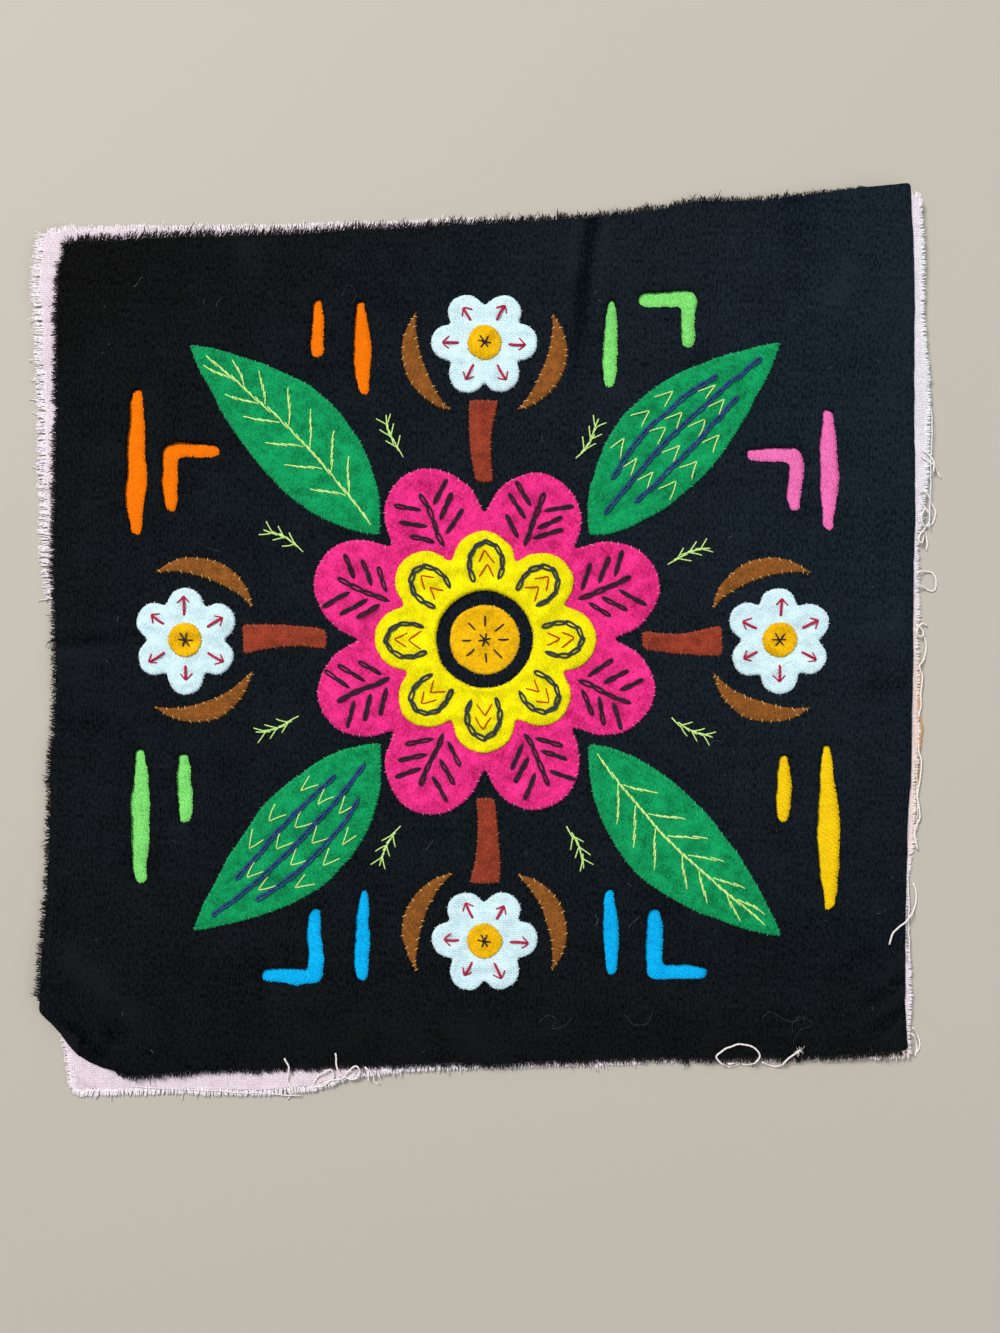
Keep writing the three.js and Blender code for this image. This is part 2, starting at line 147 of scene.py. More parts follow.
def cottonFinish(name, look):
    # woven cotton: round yarns over and under each other, uneven yarns, patchy dye and wear, painted shade
    # and highlight on creases, and on the black a painted sheen with some fading
    finish, shader, wire = newFinish(name, {
        "Roughness": 0.86,
        "Specular IOR Level": look.get("gloss", 0.07),
        "Sheen Weight": look.get("sheen", 0.04),
        "Sheen Roughness": 0.45,
        "Sheen Tint": (*look["light"], 1),
    })
    place = wire.node("UVMap", {"uv_map": "weave"}, {})
    drift = wire.vector("SUBTRACT", speckle(wire, place, 0.3, 2.0, "Color"), (0.5, 0.5, 0.5))
    wandering = wire.vector("ADD", place, wire.vector("MULTIPLY", drift, (0.7, 0.7, 0.7)))
    across, down = (wandering.axis(name) * (1 / look.get("pitch", 0.54)) for name in "XY")
    column, row = (wire.maths("FLOOR", yarns) for yarns in (across, down))
    if look.get("twill"):
        over = wire.maths("LESS_THAN", wire.maths("FLOORED_MODULO", column + row, 3.0), 0.5)
    else:
        over = wire.maths("FLOORED_MODULO", column + row, 2.0)
    warp, weft = (wire.maths("ABSOLUTE", wire.maths("SINE", yarns * math.pi)) for yarns in (across, down))
    height = over * warp + (1 - over) * weft
    warpTone = wire.node("TexWhiteNoise", {"noise_dimensions": "1D"}, {"W": column})
    weftTone = wire.node("TexWhiteNoise", {"noise_dimensions": "1D"}, {"W": row + 0.5})
    crossing = wire.node("CombineXYZ", {}, {"X": column, "Y": row})
    crossTone = wire.node("TexWhiteNoise", {"noise_dimensions": "2D"}, {"Vector": crossing})
    yarnTone = 0.4 * (over * warpTone + (1 - over) * weftTone) + 0.6 * crossTone
    patchy = speckle(wire, place, 0.07)
    wearAndShade = speckle(wire, place, 0.24)
    fuzz = speckle(wire, wire.vector("MULTIPLY", place, (1.25, 0.55, 1.0)), look.get("fuzz", 1.9))
    blotches = look.get("blotches", 0.7) * (0.6 * (patchy - 0.5) + 0.8 * (wearAndShade - 0.5))
    share = 0.3 * height + 0.6 * yarnTone + blotches + look.get("grain", 1.1) * (fuzz - 0.5) + 0.1
    # painted shade and highlight on creases, wrinkles and ripples, with some real rubbed wear, comes in from
    # a vertex attribute
    share = clamped(wire, share + wire.node("Attribute", {"attribute_name": "wearAndShade"}, {}, "Fac"))
    colour = mixColours(wire, share, look["dark"], look["light"])
    # painted sheen: towards the right and top the black is mixed into a second, bluish pair of colours that
    # paints the window's reflection on the cloth, with some real fading
    if "sheenAndFade" in look:
        right, up = (place.axis(name) * (1 / 120) for name in "XY")        # 1 at the panel's edges
        sheenAndFadeShare = 0.46 + right * (0.235 + 0.265 * up) + up * (0.1375 - 0.27 * up)
        sheenAndFadeShare = clamped(wire, sheenAndFadeShare + 0.2 * (patchy - 0.5))
        colour = mixColours(wire, sheenAndFadeShare, colour, mixColours(wire, share, *look["sheenAndFade"]))
    if "tints" in look:
        colour = tintedRound(wire, colour, look["tints"])
    bump = wire.node("Bump", {}, {"Strength": 0.7, "Distance": 0.16 * mm, "Height": height + 0.8 * fuzz})
    colour.into(shader, "Base Color")
    bump.into(shader, "Normal")
    return finish


def threadFinish(name, look):
    # two plies twisted round each other
    finish, shader, wire = newFinish(name, {
        "Roughness": 0.62,
        "Specular IOR Level": 0.16,
        "Sheen Weight": look.get("sheen", 0.06),
        "Sheen Tint": (*look["light"], 1),
    })
    place = wire.node("UVMap", {"uv_map": "twist"}, {})
    turns = place.axis("X") * (1 / look.get("twist", 0.8)) + place.axis("Y") * 2.0
    ply = wire.maths("SINE", turns * (2 * math.pi))
    where = wire.node("TexCoord", {}, {}, "Object")
    uneven = wire.node("TexNoise", {}, {"Vector": where, "Scale": 260.0, "Detail": 3.0})
    share = clamped(wire, 0.3 + 0.24 * ply + 0.6 * (uneven - 0.2))
    colour = mixColours(wire, share, look["dark"], look["light"])
    if "tints" in look:
        colour = tintedRound(wire, colour, look["tints"])
    bump = wire.node("Bump", {}, {"Strength": 0.6, "Distance": 0.08 * mm, "Height": ply})
    colour.into(shader, "Base Color")
    bump.into(shader, "Normal")
    return finish


# the backing is tinted bluish white at the upper right, peach at the right and darker beige along the bottom
# at the right: place, reach and tint
backingTints = [
    ((121, 72), (9, 62), (0.98, 1.09, 1.07)),
    ((118, -26), (9, 36), (1.03, 0.985, 0.85)),
    ((92, -116), (36, 8), (0.86, 0.79, 0.71)),
]
# pitch is the width of one yarn in mm
cottons = {
    "black_cotton": {"dark": (0.0005, 0.0006, 0.0005), "light": (0.0067, 0.0074, 0.0069), "pitch": 0.46,
                     # the second pair is a painted bluish sheen, the window's reflection on the black, with
                     # some real fading
                     "sheenAndFade": ((0.0022, 0.0066, 0.0110), (0.0160, 0.0250, 0.0372)),
                     "sheen": 0, "gloss": 0.03, "grain": 2.6, "blotches": 0.4, "fuzz": 1.5},
    "pale_pink_cotton": {"dark": (0.60, 0.49, 0.55), "light": (0.90, 0.76, 0.83),
                         "grain": 0.6, "blotches": 0.6, "tints": backingTints},
    "hot_pink_cotton": {"dark": (0.400, 0.006, 0.085), "light": (1.000, 0.038, 0.285)},
    "yellow_cotton": {"dark": (0.690, 0.570, 0.001), "light": (1.000, 0.905, 0.003), "pitch": 0.52},
    "gold_cotton": {"dark": (0.558, 0.287, 0.002), "light": (1.000, 0.554, 0.004), "pitch": 0.50,
                    "twill": True},
    "green_cotton": {"dark": (0.002, 0.126, 0.039), "light": (0.006, 0.378, 0.119)},
    "red_brown_cotton": {"dark": (0.123, 0.019, 0.009), "light": (0.360, 0.055, 0.026)},
    "gold_brown_cotton": {"dark": (0.110, 0.037, 0.007), "light": (0.323, 0.109, 0.021)},
    "white_cotton": {"dark": (0.50, 0.68, 0.735), "light": (0.73, 0.95, 1.000), "pitch": 0.50},
    "orange_cotton": {"dark": (0.780, 0.140, 0.001), "light": (1.000, 0.210, 0.001)},
    "light_green_cotton": {"dark": (0.133, 0.455, 0.101), "light": (0.256, 0.878, 0.194)},
    "blue_cotton": {"dark": (0.001, 0.275, 0.640), "light": (0.003, 0.525, 1.000)},
    "light_pink_cotton": {"dark": (0.640, 0.098, 0.272), "light": (1.000, 0.208, 0.570)},
    # a lighter gold for the scrap in its slit, painted light against the slit's shade
    "gold_cotton_painted_lighter": {"dark": (0.800, 0.450, 0.003), "light": (1.000, 0.685, 0.006), "pitch": 0.50,
                           "twill": True},
}
cottonFinishes = {name: cottonFinish(name, look) for name, look in cottons.items()}

# twist is the length of one turn of the plies in mm
flosses = {
    "black_thread": {"dark": (0.006, 0.003, 0.006), "light": (0.038, 0.023, 0.039), "twist": 0.9,
                     "sheen": 0.02},
    "navy_thread": {"dark": (0.005, 0.022, 0.085), "light": (0.030, 0.095, 0.260), "twist": 1.1},
    "slate_thread": {"dark": (0.010, 0.014, 0.020), "light": (0.055, 0.070, 0.095), "twist": 1.1},
    "lime_thread": {"dark": (0.42, 0.68, 0.15), "light": (0.76, 1.00, 0.40), "twist": 1.0},
    "red_thread": {"dark": (0.34, 0.012, 0.006), "light": (0.72, 0.042, 0.016), "twist": 1.0},
    "crimson_thread": {"dark": (0.30, 0.004, 0.030), "light": (0.62, 0.016, 0.070), "twist": 1.0},
    "pink_thread": {"dark": (0.74, 0.14, 0.34), "light": (1.00, 0.42, 0.62)},
    "yellow_thread": {"dark": (0.68, 0.50, 0.01), "light": (0.98, 0.84, 0.06)},
    "gold_thread": {"dark": (0.58, 0.34, 0.07), "light": (0.94, 0.68, 0.24)},
    "green_thread": {"dark": (0.03, 0.26, 0.11), "light": (0.16, 0.60, 0.32)},
    "brown_thread": {"dark": (0.28, 0.08, 0.04), "light": (0.58, 0.22, 0.11)},
    "white_thread": {"dark": (0.62, 0.64, 0.68), "light": (0.95, 0.95, 0.97), "twist": 0.9},
    "pale_pink_yarn": {"dark": (0.78, 0.68, 0.73), "light": (1.00, 0.95, 0.97), "twist": 1.2,
                       "tints": backingTints},
    "loose_yarn": {"dark": (0.78, 0.70, 0.67), "light": (1.00, 0.95, 0.91), "twist": 1.2},
    "black_yarn": {"dark": (0.002, 0.002, 0.002), "light": (0.009, 0.009, 0.010), "twist": 1.2,
                   "sheen": 0.02},
    "grey_hair": {"dark": (0.030, 0.034, 0.042), "light": (0.105, 0.118, 0.140), "twist": 2.0},
    "orange_yarn": {"dark": (0.48, 0.17, 0.03), "light": (0.86, 0.44, 0.13), "twist": 1.0},
    "lint": {"dark": (0.16, 0.17, 0.19), "light": (0.42, 0.44, 0.47), "twist": 2.0},
}
flossFinishes = {name: threadFinish(name, look) for name, look in flosses.items()}
print("finishes:", len(cottonFinishes) + len(flossFinishes))


# outlines

def loopArea(loop):
    x, y = loop[:, 0], loop[:, 1]
    return 0.5 * float(np.sum(x * np.roll(y, -1) - y * np.roll(x, -1)))


def closedLine(loop):
    return np.vstack([loop, loop[:1]])


def lengthsAlong(line):
    return np.concatenate([[0], np.cumsum(np.linalg.norm(np.diff(line, axis=0), axis=1))])


def leftOf(way):
    return np.array([-way[1], way[0]])


def waysIn(loop, reach):
    # the way into the cloth at each point of a loop, square to the line between its neighbours
    around = np.roll(loop, -reach, 0) - np.roll(loop, reach, 0)
    return np.stack([-around[:, 1], around[:, 0]], 1) / np.linalg.norm(around, axis=1)[:, None]


def bent(t, start, end, leave, arrive):
    # a smooth line from start to end that leaves and arrives along given ways
    return ((2 * t**3 - 3 * t**2 + 1) * start + (t**3 - 2 * t**2 + t) * leave
            + (3 * t**2 - 2 * t**3) * end + (t**3 - t**2) * arrive)


def solidCopy(node):
    solid = bmesh.new()
    solid.from_mesh(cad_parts[node].data)
    bmesh.ops.scale(solid, vec=(1 / mm,) * 3, verts=solid.verts)
    bmesh.ops.remove_doubles(solid, verts=solid.verts, dist=0.002)
    return solid


def topLoops(node):
    # the outlines of a solid's upper side: the outer one first, anticlockwise, then holes, clockwise
    solid = solidCopy(node)
    lower = [face for face in solid.faces if face.normal.z < 0.5]
    bmesh.ops.delete(solid, geom=lower, context="FACES")
    loops = []
    for first in solid.edges:
        if first.tag or not first.is_boundary:
            continue
        first.tag = True
        chain = [first.verts[0]]
        here = first.verts[1]
        while here is not chain[0]:
            chain.append(here)
            onward = next(edge for edge in here.link_edges if edge.is_boundary and not edge.tag)
            onward.tag = True
            here = onward.other_vert(here)
        loops.append(np.array([corner.co.xy for corner in chain]))
    solid.free()
    loops.sort(key=lambda loop: -abs(loopArea(loop)))
    return [loop if (loopArea(loop) > 0) == (i == 0) else loop[::-1] for i, loop in enumerate(loops)]


def softLoop(loop, spacing, rounds):
    # a smooth line through the points; where it turns more than corner degrees it is only blunted
    corner, least = 44, 0.08
    loop = loop[np.diff(lengthsAlong(closedLine(loop))) > least]
    ahead = np.roll(loop, -1, 0) - loop
    span = np.linalg.norm(ahead, axis=1)
    ahead = ahead / span[:, None]
    behind = np.roll(ahead, 1, 0)
    turn = np.degrees(np.arccos(np.clip((ahead * behind).sum(1), -1, 1)))
    middle = ahead + behind
    middle = middle / np.maximum(np.linalg.norm(middle, axis=1), 1e-6)[:, None]
    sharp = (turn > corner)[:, None]
    leave = np.where(sharp, ahead, middle)
    arrive = np.roll(np.where(sharp, behind, middle), -1, 0)
    goal = np.roll(loop, -1, 0)
    points = []
    for i, reach in enumerate(span):
        steps = max(1, round(reach / spacing))
        t = (np.arange(steps) / steps)[:, None]
        points.append(bent(t, loop[i], goal[i], reach * leave[i], reach * arrive[i]))
    points = np.concatenate(points)
    for lap in range(rounds):
        points = 0.25 * np.roll(points, 1, 0) + 0.5 * points + 0.25 * np.roll(points, -1, 0)
    return points


def handCut(loop, amount):
    # one wandering field for all outlines, so that neighbours wander together
    moved = [Vector((x, y, 0)) for x, y in loop]
    moved = [p + amount * (noise.noise_vector(p / 9) + 0.45 * noise.noise_vector(p / 3.1)) for p in moved]
    return np.array([p.xy for p in moved])


def nudged(loop, nudges):
    # the loop with its points moved near some places
    for at, move, reach in nudges:
        gap = np.linalg.norm(loop - centre - np.array(at), axis=1)
        loop = loop + np.exp(-(gap / reach) ** 2)[:, None] * np.array(move)
    return loop


def cutLoop(loop, look):
    # an outline as scissors cut it
    return handCut(softLoop(loop, look["spacing"], look["rounds"]), look["wander"])


def drawnIn(loop, amount):
    # the loop moved into its cloth
    return loop + amount * waysIn(loop, 2)


def sewnRim(loops, pitch, drawn):
    # the edge as stitches pull it: its loops, each point's way into the cloth and puff between stitches,
    # and the place and way in of each stitch
    rim = {"loops": [], "inward": [], "puff": [], "stitches": []}
    for loop in loops:
        along = lengthsAlong(closedLine(loop))
        inward = waysIn(loop, 1)
        count = max(3, round(along[-1] / pitch))
        spots = (np.arange(count) + dice.uniform(-0.24, 0.24, count)) * along[-1] / count % along[-1]
        gaps = np.abs(along[:-1, None] - spots[None, :])
        gap = np.minimum(gaps, along[-1] - gaps).min(1)
        puff = np.sin(np.minimum(1, gap / (0.5 * pitch)) * math.pi / 2)
        pulled = loop + drawn * (1 - puff)[:, None] * inward
        rim["loops"].append(pulled)
        rim["inward"].append(inward)
        rim["puff"].append(puff)
        rim["stitches"] += [(pulled[i], inward[i]) for i in gaps.argmin(0)]
    rim["inward"], rim["puff"] = np.concatenate(rim["inward"]), np.concatenate(rim["puff"])
    rim["tree"] = pointTree(np.concatenate(rim["loops"]))
    return rim


def pointTree(points):
    tree = KDTree(len(points))
    for i, (x, y) in enumerate(points):
        tree.insert((x, y, 0), i)
    tree.balance()
    return tree


def flatSize(loop):
    # width, length and area of a cut piece, turned to its smallest rectangle
    best = None
    for degrees in range(0, 90, 3):
        c, s = math.cos(math.radians(degrees)), math.sin(math.radians(degrees))
        width, length = np.ptp(loop @ np.array([[c, -s], [s, c]]), axis=0)
        if best is None or width * length < best[0] * best[1]:
            best = (width, length)
    return sorted(best), abs(loopArea(loop))


# cloth

def fillCloth(loops, hemSteps, grid, turn):
    # a flat cloth inside the loops: rows along its edges, then a grid turned to the weave
    cloth = bmesh.new()
    for loop in loops:
        corners = [cloth.verts.new((x, y, 0)) for x, y in loop]
        for a, b in zip(corners, corners[1:] + corners[:1]):
            cloth.edges.new((a, b))
    bmesh.ops.triangle_fill(cloth, use_beauty=True, use_dissolve=True, edges=cloth.edges[:],
                            normal=(0, 0, 1))
    bmesh.ops.reverse_faces(cloth, faces=[face for face in cloth.faces if face.normal.z < 0])
    middle = cloth.faces[:]
    for step in hemSteps:
        bmesh.ops.inset_region(cloth, faces=middle, thickness=step, use_boundary=True)
    verts = {v: None for face in middle for v in face.verts}
    edges = {e: None for face in middle for e in face.edges}
    part = list(verts) + list(edges) + middle
    for quarter in (0, math.pi / 2):
        across = Vector((math.cos(turn + quarter), math.sin(turn + quarter), 0))
        reach = [v.co.dot(across) for v in cloth.verts]
        for offset in np.arange(min(reach) + 0.37 * grid, max(reach), grid):
            part = bmesh.ops.bisect_plane(cloth, geom=part, dist=0.02, plane_co=across * offset,
                                          plane_no=across)["geom"]
    bmesh.ops.triangulate(cloth, faces=[face for face in cloth.faces if len(face.verts) > 4])
    return cloth


def dropOn(tree, x, y):
    # where something dropped on the cloth lands, None beside it
    return tree.ray_cast(Vector((x, y, 60)), Vector((0, 0, -1)))[0]


def heightOn(tree, x, y):
    spot = dropOn(tree, x, y)
    if spot is None:
        spot = tree.find_nearest(Vector((x, y, 3)))[0]
    return spot.z


def placed(name, data):
    holder = bpy.data.objects.new(name, data)
    bpy.context.scene.collection.objects.link(holder)
    return holder


def finishCloth(node, cloth, slot, look, turn, finish=None):
    # weave coordinates in mm along the yarns, then metres, thickness and the finish
    weave = cloth.loops.layers.uv.new("weave")
    c, s = math.cos(turn), math.sin(turn)
    for face in cloth.faces:
        face.smooth = True
        for corner in face.loops:
            x, y, z = corner.vert.co
            corner[weave].uv = (c * x + s * y, c * y - s * x)
    bmesh.ops.scale(cloth, vec=(mm,) * 3, verts=cloth.verts)
    mesh = bpy.data.meshes.new(node + "_cloth")
    cloth.to_mesh(mesh)
    cloth.free()
    piece = placed(node + "_cloth", mesh)
    mesh.materials.append(cottonFinishes[finish or slot])
    body = piece.modifiers.new("thickness", "SOLIDIFY")
    body.thickness = look["thickness"] * mm
    body.offset = -1
    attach(piece, "root")
    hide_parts(node)
    return piece


def smoothStep(value, low, high):
    t = min(1, max(0, (value - low) / (high - low)))
    return t * t * (3 - 2 * t)


def waves(x, y, size, seed):
    return noise.noise(Vector((x / size, y / size, seed)))


def creaseRises(cloth, creases):
    # height that the creases give each vertex; a crease is full at its start and fades to its end
    flat = np.array([v.co.xy for v in cloth.verts])
    rises = np.zeros(len(flat))
    for start, end, width, rise in creases:
        start, end = np.array(start) + centre, np.array(end) + centre
        t = (flat - start) @ (end - start) / (end - start).dot(end - start)
        off = np.linalg.norm(flat - start - np.clip(t, 0, 1)[:, None] * (end - start), axis=1)
        fade = np.clip((t - 0.35) / 0.65, 0, 1)
        rises += rise * np.exp(-(off / width) ** 2) * (1 - fade * fade * (3 - 2 * fade))
    return rises


def finer(cloth, middle, near, cuts):
    # a finer mesh round a place
    middle = Vector(centre) + Vector(middle)
    edges = [edge for edge in cloth.edges if not edge.is_boundary and edge.calc_length() > 0.6
             and all((v.co.xy - middle).length < near for v in edge.verts)]
    bmesh.ops.subdivide_edges(cloth, edges=edges, cuts=cuts, use_grid_fill=True)
    bmesh.ops.triangulate(cloth, faces=[face for face in cloth.faces if len(face.verts) > 4])


def shapedLike(cloth, node, laps):
    # the cloth laid on its solid's top, with the solid's facets smoothed away
    solid = BVHTree.FromBMesh(solidCopy(node))
    for v in cloth.verts:
        v.co.z = heightOn(solid, v.co.x, v.co.y)
    for lap in range(laps):
        bmesh.ops.smooth_vert(cloth, verts=cloth.verts, factor=0.5, use_axis_z=True)


soft = {}


# backing

backingLook = {
    "turn": 0.02, "thickness": 0.42, "grid": 3.0, "hems": [0.6], "spacing": 0.9, "rounds": 6, "wander": 0.35,
    "ragged": 0.132, "sink": 0.5, "wave": 0.3, "waveSize": 8, "edge": (104, 118), "lift": 0.02, "laps": 8,
    # how far the cloth stops short of the solid's outline, for the frayed ends, and where that comes in
    "frayed": 0.55, "leftIn": 1.2, "bottomIn": 0.4, "bottomRightIn": 0.5,
    "left": (112, 116), "leftUp": (-60, 0), "bottom": (108, 112), "bottomRight": (35, 70),
    # the right edge with its fringe: heights up it and how far out it lies
    "rightAt": (-107, -101, -90, -80, -65, -58, -55, -40, -26, -12, 3,
                8, 20, 27, 35, 42, 49, 64, 74, 88, 103, 120),
    "rightOut": (115.2, 115.5, 115.8, 114.4, 115.1, 116.3, 117.1, 117.1, 118.5, 118.2, 117.8,
                 118.2, 117.6, 117.6, 118.9, 120.1, 120.4, 120.7, 120.4, 119.0, 119.0, 118.0),
    "rightFringe": 0.4, "facing": (0.6, 0.95),
    # place, move and reach
    "nudges": [
        ((-107.4, -121.9), (-3.2, -0.8), 14.0),
        ((116, 118), (0.8, -0.3), 7.0),
        ((96, -115), (0, -0.7), 22.0),
        ((-95, 111), (0, 0.9), 30.0),
        ((-119, 109), (-1.4, 1.2), 6.0),
    ],
    "cornerAt": (-108.0, -117.0), "cornerNear": 11.0,
    # soft folds in the corner that shows at the bottom left: from, to, width and rise
    "creases": [
        ((-106.6, -121.4), (-114.5, -113.5), 1.0, 0.55),
        ((-104.6, -120.4), (-112.0, -112.0), 1.0, -0.4),
        ((-101.5, -121.5), (-103.5, -113.0), 1.3, 0.3),
    ],
}


def backingInset(x, y):
    x, y = np.array([x, y]) - centre
    low = backingLook["bottomIn"] + backingLook["bottomRightIn"] * smoothStep(x, *backingLook["bottomRight"])
    low *= smoothStep(-y, *backingLook["bottom"])
    left = smoothStep(-x, *backingLook["left"]) * smoothStep(y, *backingLook["leftUp"])
    return backingLook["frayed"] + max(low, backingLook["leftIn"] * left)


backingOutline = nudged(cutLoop(topLoops("backing")[0], backingLook), backingLook["nudges"])
backingOutline = drawnIn(backingOutline, np.array([[backingInset(x, y)] for x, y in backingOutline]))
facing = -waysIn(backingOutline, 4)[:, 0]        # 1 where the edge faces right
rightOut = np.interp(backingOutline[:, 1] - centre[1], backingLook["rightAt"], backingLook["rightOut"])
rightOut = rightOut + centre[0] - backingLook["rightFringe"]
rightShare = np.array([smoothStep(value, *backingLook["facing"]) for value in facing])
backingOutline[:, 0] += rightShare * (rightOut - backingOutline[:, 0])
backingOutline = backingOutline + dice.normal(0, backingLook["ragged"], backingOutline.shape)
backingCloth = fillCloth([backingOutline], backingLook["hems"], backingLook["grid"], backingLook["turn"])
finer(backingCloth, backingLook["cornerAt"], backingLook["cornerNear"], 3)
shapedLike(backingCloth, "backing", backingLook["laps"])
for v, rise in zip(backingCloth.verts, creaseRises(backingCloth, backingLook["creases"])):
    edge = smoothStep(max(abs(v.co.x), abs(v.co.y)), *backingLook["edge"])
    wave = edge * backingLook["wave"] * waves(v.co.x, v.co.y, backingLook["waveSize"], 3)
    v.co.z = max(backingLook["thickness"] + backingLook["lift"], v.co.z - backingLook["sink"] + rise + wave)
backingTree = BVHTree.FromBMesh(backingCloth)
backing = finishCloth("backing", backingCloth, "pale_pink_cotton", backingLook, backingLook["turn"])
print("backing:", len(backing.data.polygons), "faces")


# front, with rolled slit edges, a clean right edge and a turned-under corner

frontLook = {
    "turn": -0.035, "thickness": 0.36, "grid": 1.7, "hems": [0.16, 0.26, 0.45],
    "spacing": 0.9, "rounds": 2, "wander": 0.3, "laps": 10, "sink": 0.1, "edgeSink": 0.9, "least": 0.12,
    "edge": (98, 116), "edgeWave": 0.32, "edgeWaveSize": 9, "swell": 0.3, "swellSize": 13,
    "cockle": 0.17, "cockleSize": 5.5, "paintedShadeBy": (0.9, 0.3, 0.1),        # painted shade by creases, ripples and cockles
    "ragged": 0.2, "topFrayed": 0.9, "topFrom": 90, "topOver": 12,
    "cleanWidth": 3.8, "hemmedFrom": 103, "hemmedOver": 30,        # the top edge is hemmed at the right
    # how far an edge rolls down, and over what width
    "drop": {"fold": 1.0, "clean": 0.55, "raw": 0.04}, "roll": {"fold": 2.2, "clean": 0.9, "raw": 0.9},
    # how far the turned-under cloth goes in and down
    "turnedUnder": ((0.35, 0.28), (5.0, 0.05)),
    "nudges": [
        ((58, 119), (0, 1.8), 14.0), ((116, -23), (1.2, 0), 30.0),
        ((116, 95), (0.6, 0), 20.0), ((116, 30), (0.4, 0), 14.0),
        ((114, -100), (-0.8, 0), 14.0), ((-85, 109), (0, 0.9), 16.0),
        ((-117.5, -35), (-0.8, 0), 10.0), ((-115.5, 107), (0.9, -1.3), 5.0),
        ((-113, -108), (-1.0, -1.2), 11.0), ((96, -114), (0, -0.9), 24.0),
        ((41, -114), (0, 0.8), 12.0), ((3, -115), (0, -0.8), 8.0),
    ],
}
slitLook = {
    "spacing": 0.62, "rounds": 2, "wander": 0.75, "within": 104, "least": 40, "pitch": 2.5, "drawn": 0.26,
    "barIn": 0.78, "angleIn": 0.36, "barShare": 0.6, "drop": 0.62, "roll": 0.9,
    "ripple": 0.42, "rippleSize": 3.4, "rippleReach": 6.5, "puff": 0.12, "puffReach": 1.4,
}
# soft ridges and troughs in the cloth: from, to, width and rise
frontCreases = [
    ((84, 119), (82, 98), 4.5, -0.32), ((29.6, 117), (22.8, 60), 1.5, -0.85),
    ((25.4, 116), (20.5, 80), 1.8, 0.35), ((34, 116), (30, 84), 2.4, 0.3),
    ((-116, -0.6), (-88, 1.2), 1.3, -0.55), ((-114, -4.4), (-92, -2.4), 1.8, 0.35),
    ((-113, -22), (-96, -25), 3.0, -0.3), ((112, 4), (98, 1), 2.6, 0.35),
    ((112, -12), (99, -15), 2.8, -0.3), ((-66, 108), (-60, 94), 3.0, 0.3),
    ((62, -112), (66, -98), 3.4, 0.35), ((-12, -113), (-14, -100), 3.2, -0.3),
    ((-112, -86), (-84, -112), 3.0, 0.5), ((100, 100), (88, 84), 3.6, 0.3),
    ((-105, -112), (-97, -103), 2.2, -0.4), ((-103, -109), (-92, -112), 1.8, 0.3),
    ((114, -86), (101, -97), 1.5, 0.4), ((114, -91), (100, -101), 1.2, -0.45),
    ((114, -95), (99, -106), 1.4, 0.5), ((113, -100), (101, -109), 1.2, -0.45),
    ((113, -104), (104, -111), 1.3, 0.4), ((104, -84), (88, -93), 1.8, -0.3),
    ((98, -104), (84, -109), 1.6, 0.3), ((-2, -112), (-4, -98), 2.0, 0.35),
    ((-30, -112), (-27, -101), 1.6, -0.35),
]
# places where the black is rubbed paler: place, reach and amount
frontRubs = [((-14, -107), (44, 6), 0.3), ((-112, -9), (7, 9), 0.15), ((113, 100), (6, 24), 0.2)]
# the turned-under corner lies as a flattened roll, a facet under a crest, with a painted highlight on the
# facet and painted shade beside it
foldFacet = {
    "corners": ((-119.6, -101.7), (-114.5, -109.6), (-109.8, -112.6), (-108.5, -107.1)), "slope": 0.27,
    "paintedHighlight": 0.75, "shade": 0.6, "shadeWidth": 1.9, "shadeFrom": 1.5, "near": 16.0,
    "middle": (-110.0, -106.0), "crestWidth": 0.6, "width": 1.2,
    "ends": ((0, 18.3), (19, 0.7)),        # mm from the solid's corner
}


def facetOf(x, y, facet):
    # height of the facet, how far a place is inside it and how far outside
    corners = [Vector(corner) for corner in facet["corners"]]
    sides = list(zip(corners, corners[1:] + corners[:1]))
    spot = Vector((x - centre[0], y - centre[1]))

    def inside(place, a, b):
        along = (b - a).normalized()
        return along.x * (place.y - a.y) - along.y * (place.x - a.x)
    insides = [inside(spot, *side) for side in sides]
    if min(insides) >= 0:
        return facet["slope"] * min(insides[0], insides[1] + 2), min(insides), 0.0
    feet = [a + min(1, max(0, (spot - a).dot(b - a) / (b - a).length_squared)) * (b - a) for a, b in sides]
    nearest = min(feet, key=lambda foot: (spot - foot).length)
    gap = (spot - nearest).length
    height = max(0, inside(nearest, *sides[0])) * math.exp(-(gap / facet["crestWidth"]) ** 2)
    return facet["slope"] * height, 0.0, gap


frontLoops = topLoops("front")
frontOuter = nudged(cutLoop(frontLoops[0], frontLook), frontLook["nudges"])
slitLoops = []
for loop in frontLoops[1:]:
    if np.abs(loop).max() < slitLook["within"] and abs(loopArea(loop)) > slitLook["least"]:
        loop = cutLoop(loop, slitLook)
        isBar = abs(loopArea(loop)) > slitLook["barShare"] * np.prod(np.ptp(loop, axis=0))
        slitLoops.append(drawnIn(loop, -slitLook["barIn" if isBar else "angleIn"]))
slitRim = sewnRim(slitLoops, slitLook["pitch"], slitLook["drawn"])

rightEdge = frontOuter[:, 0].max() - frontLook["cleanWidth"]
hemmedFrom = frontLook["hemmedFrom"] + centre[0]
foldLine = np.array(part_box("front")[0].xy) / mm + np.array(foldFacet["ends"])
foldInward = leftOf(foldLine[1] - foldLine[0])
foldInward = foldInward / np.linalg.norm(foldInward)


def pastFold(x, y):
    return (np.array([x, y]) - foldLine[0]) @ foldInward


def edgeKind(x, y):
    if pastFold(x, y) < foldFacet["width"]:
        return "fold"
    return "clean" if x > rightEdge else "raw"


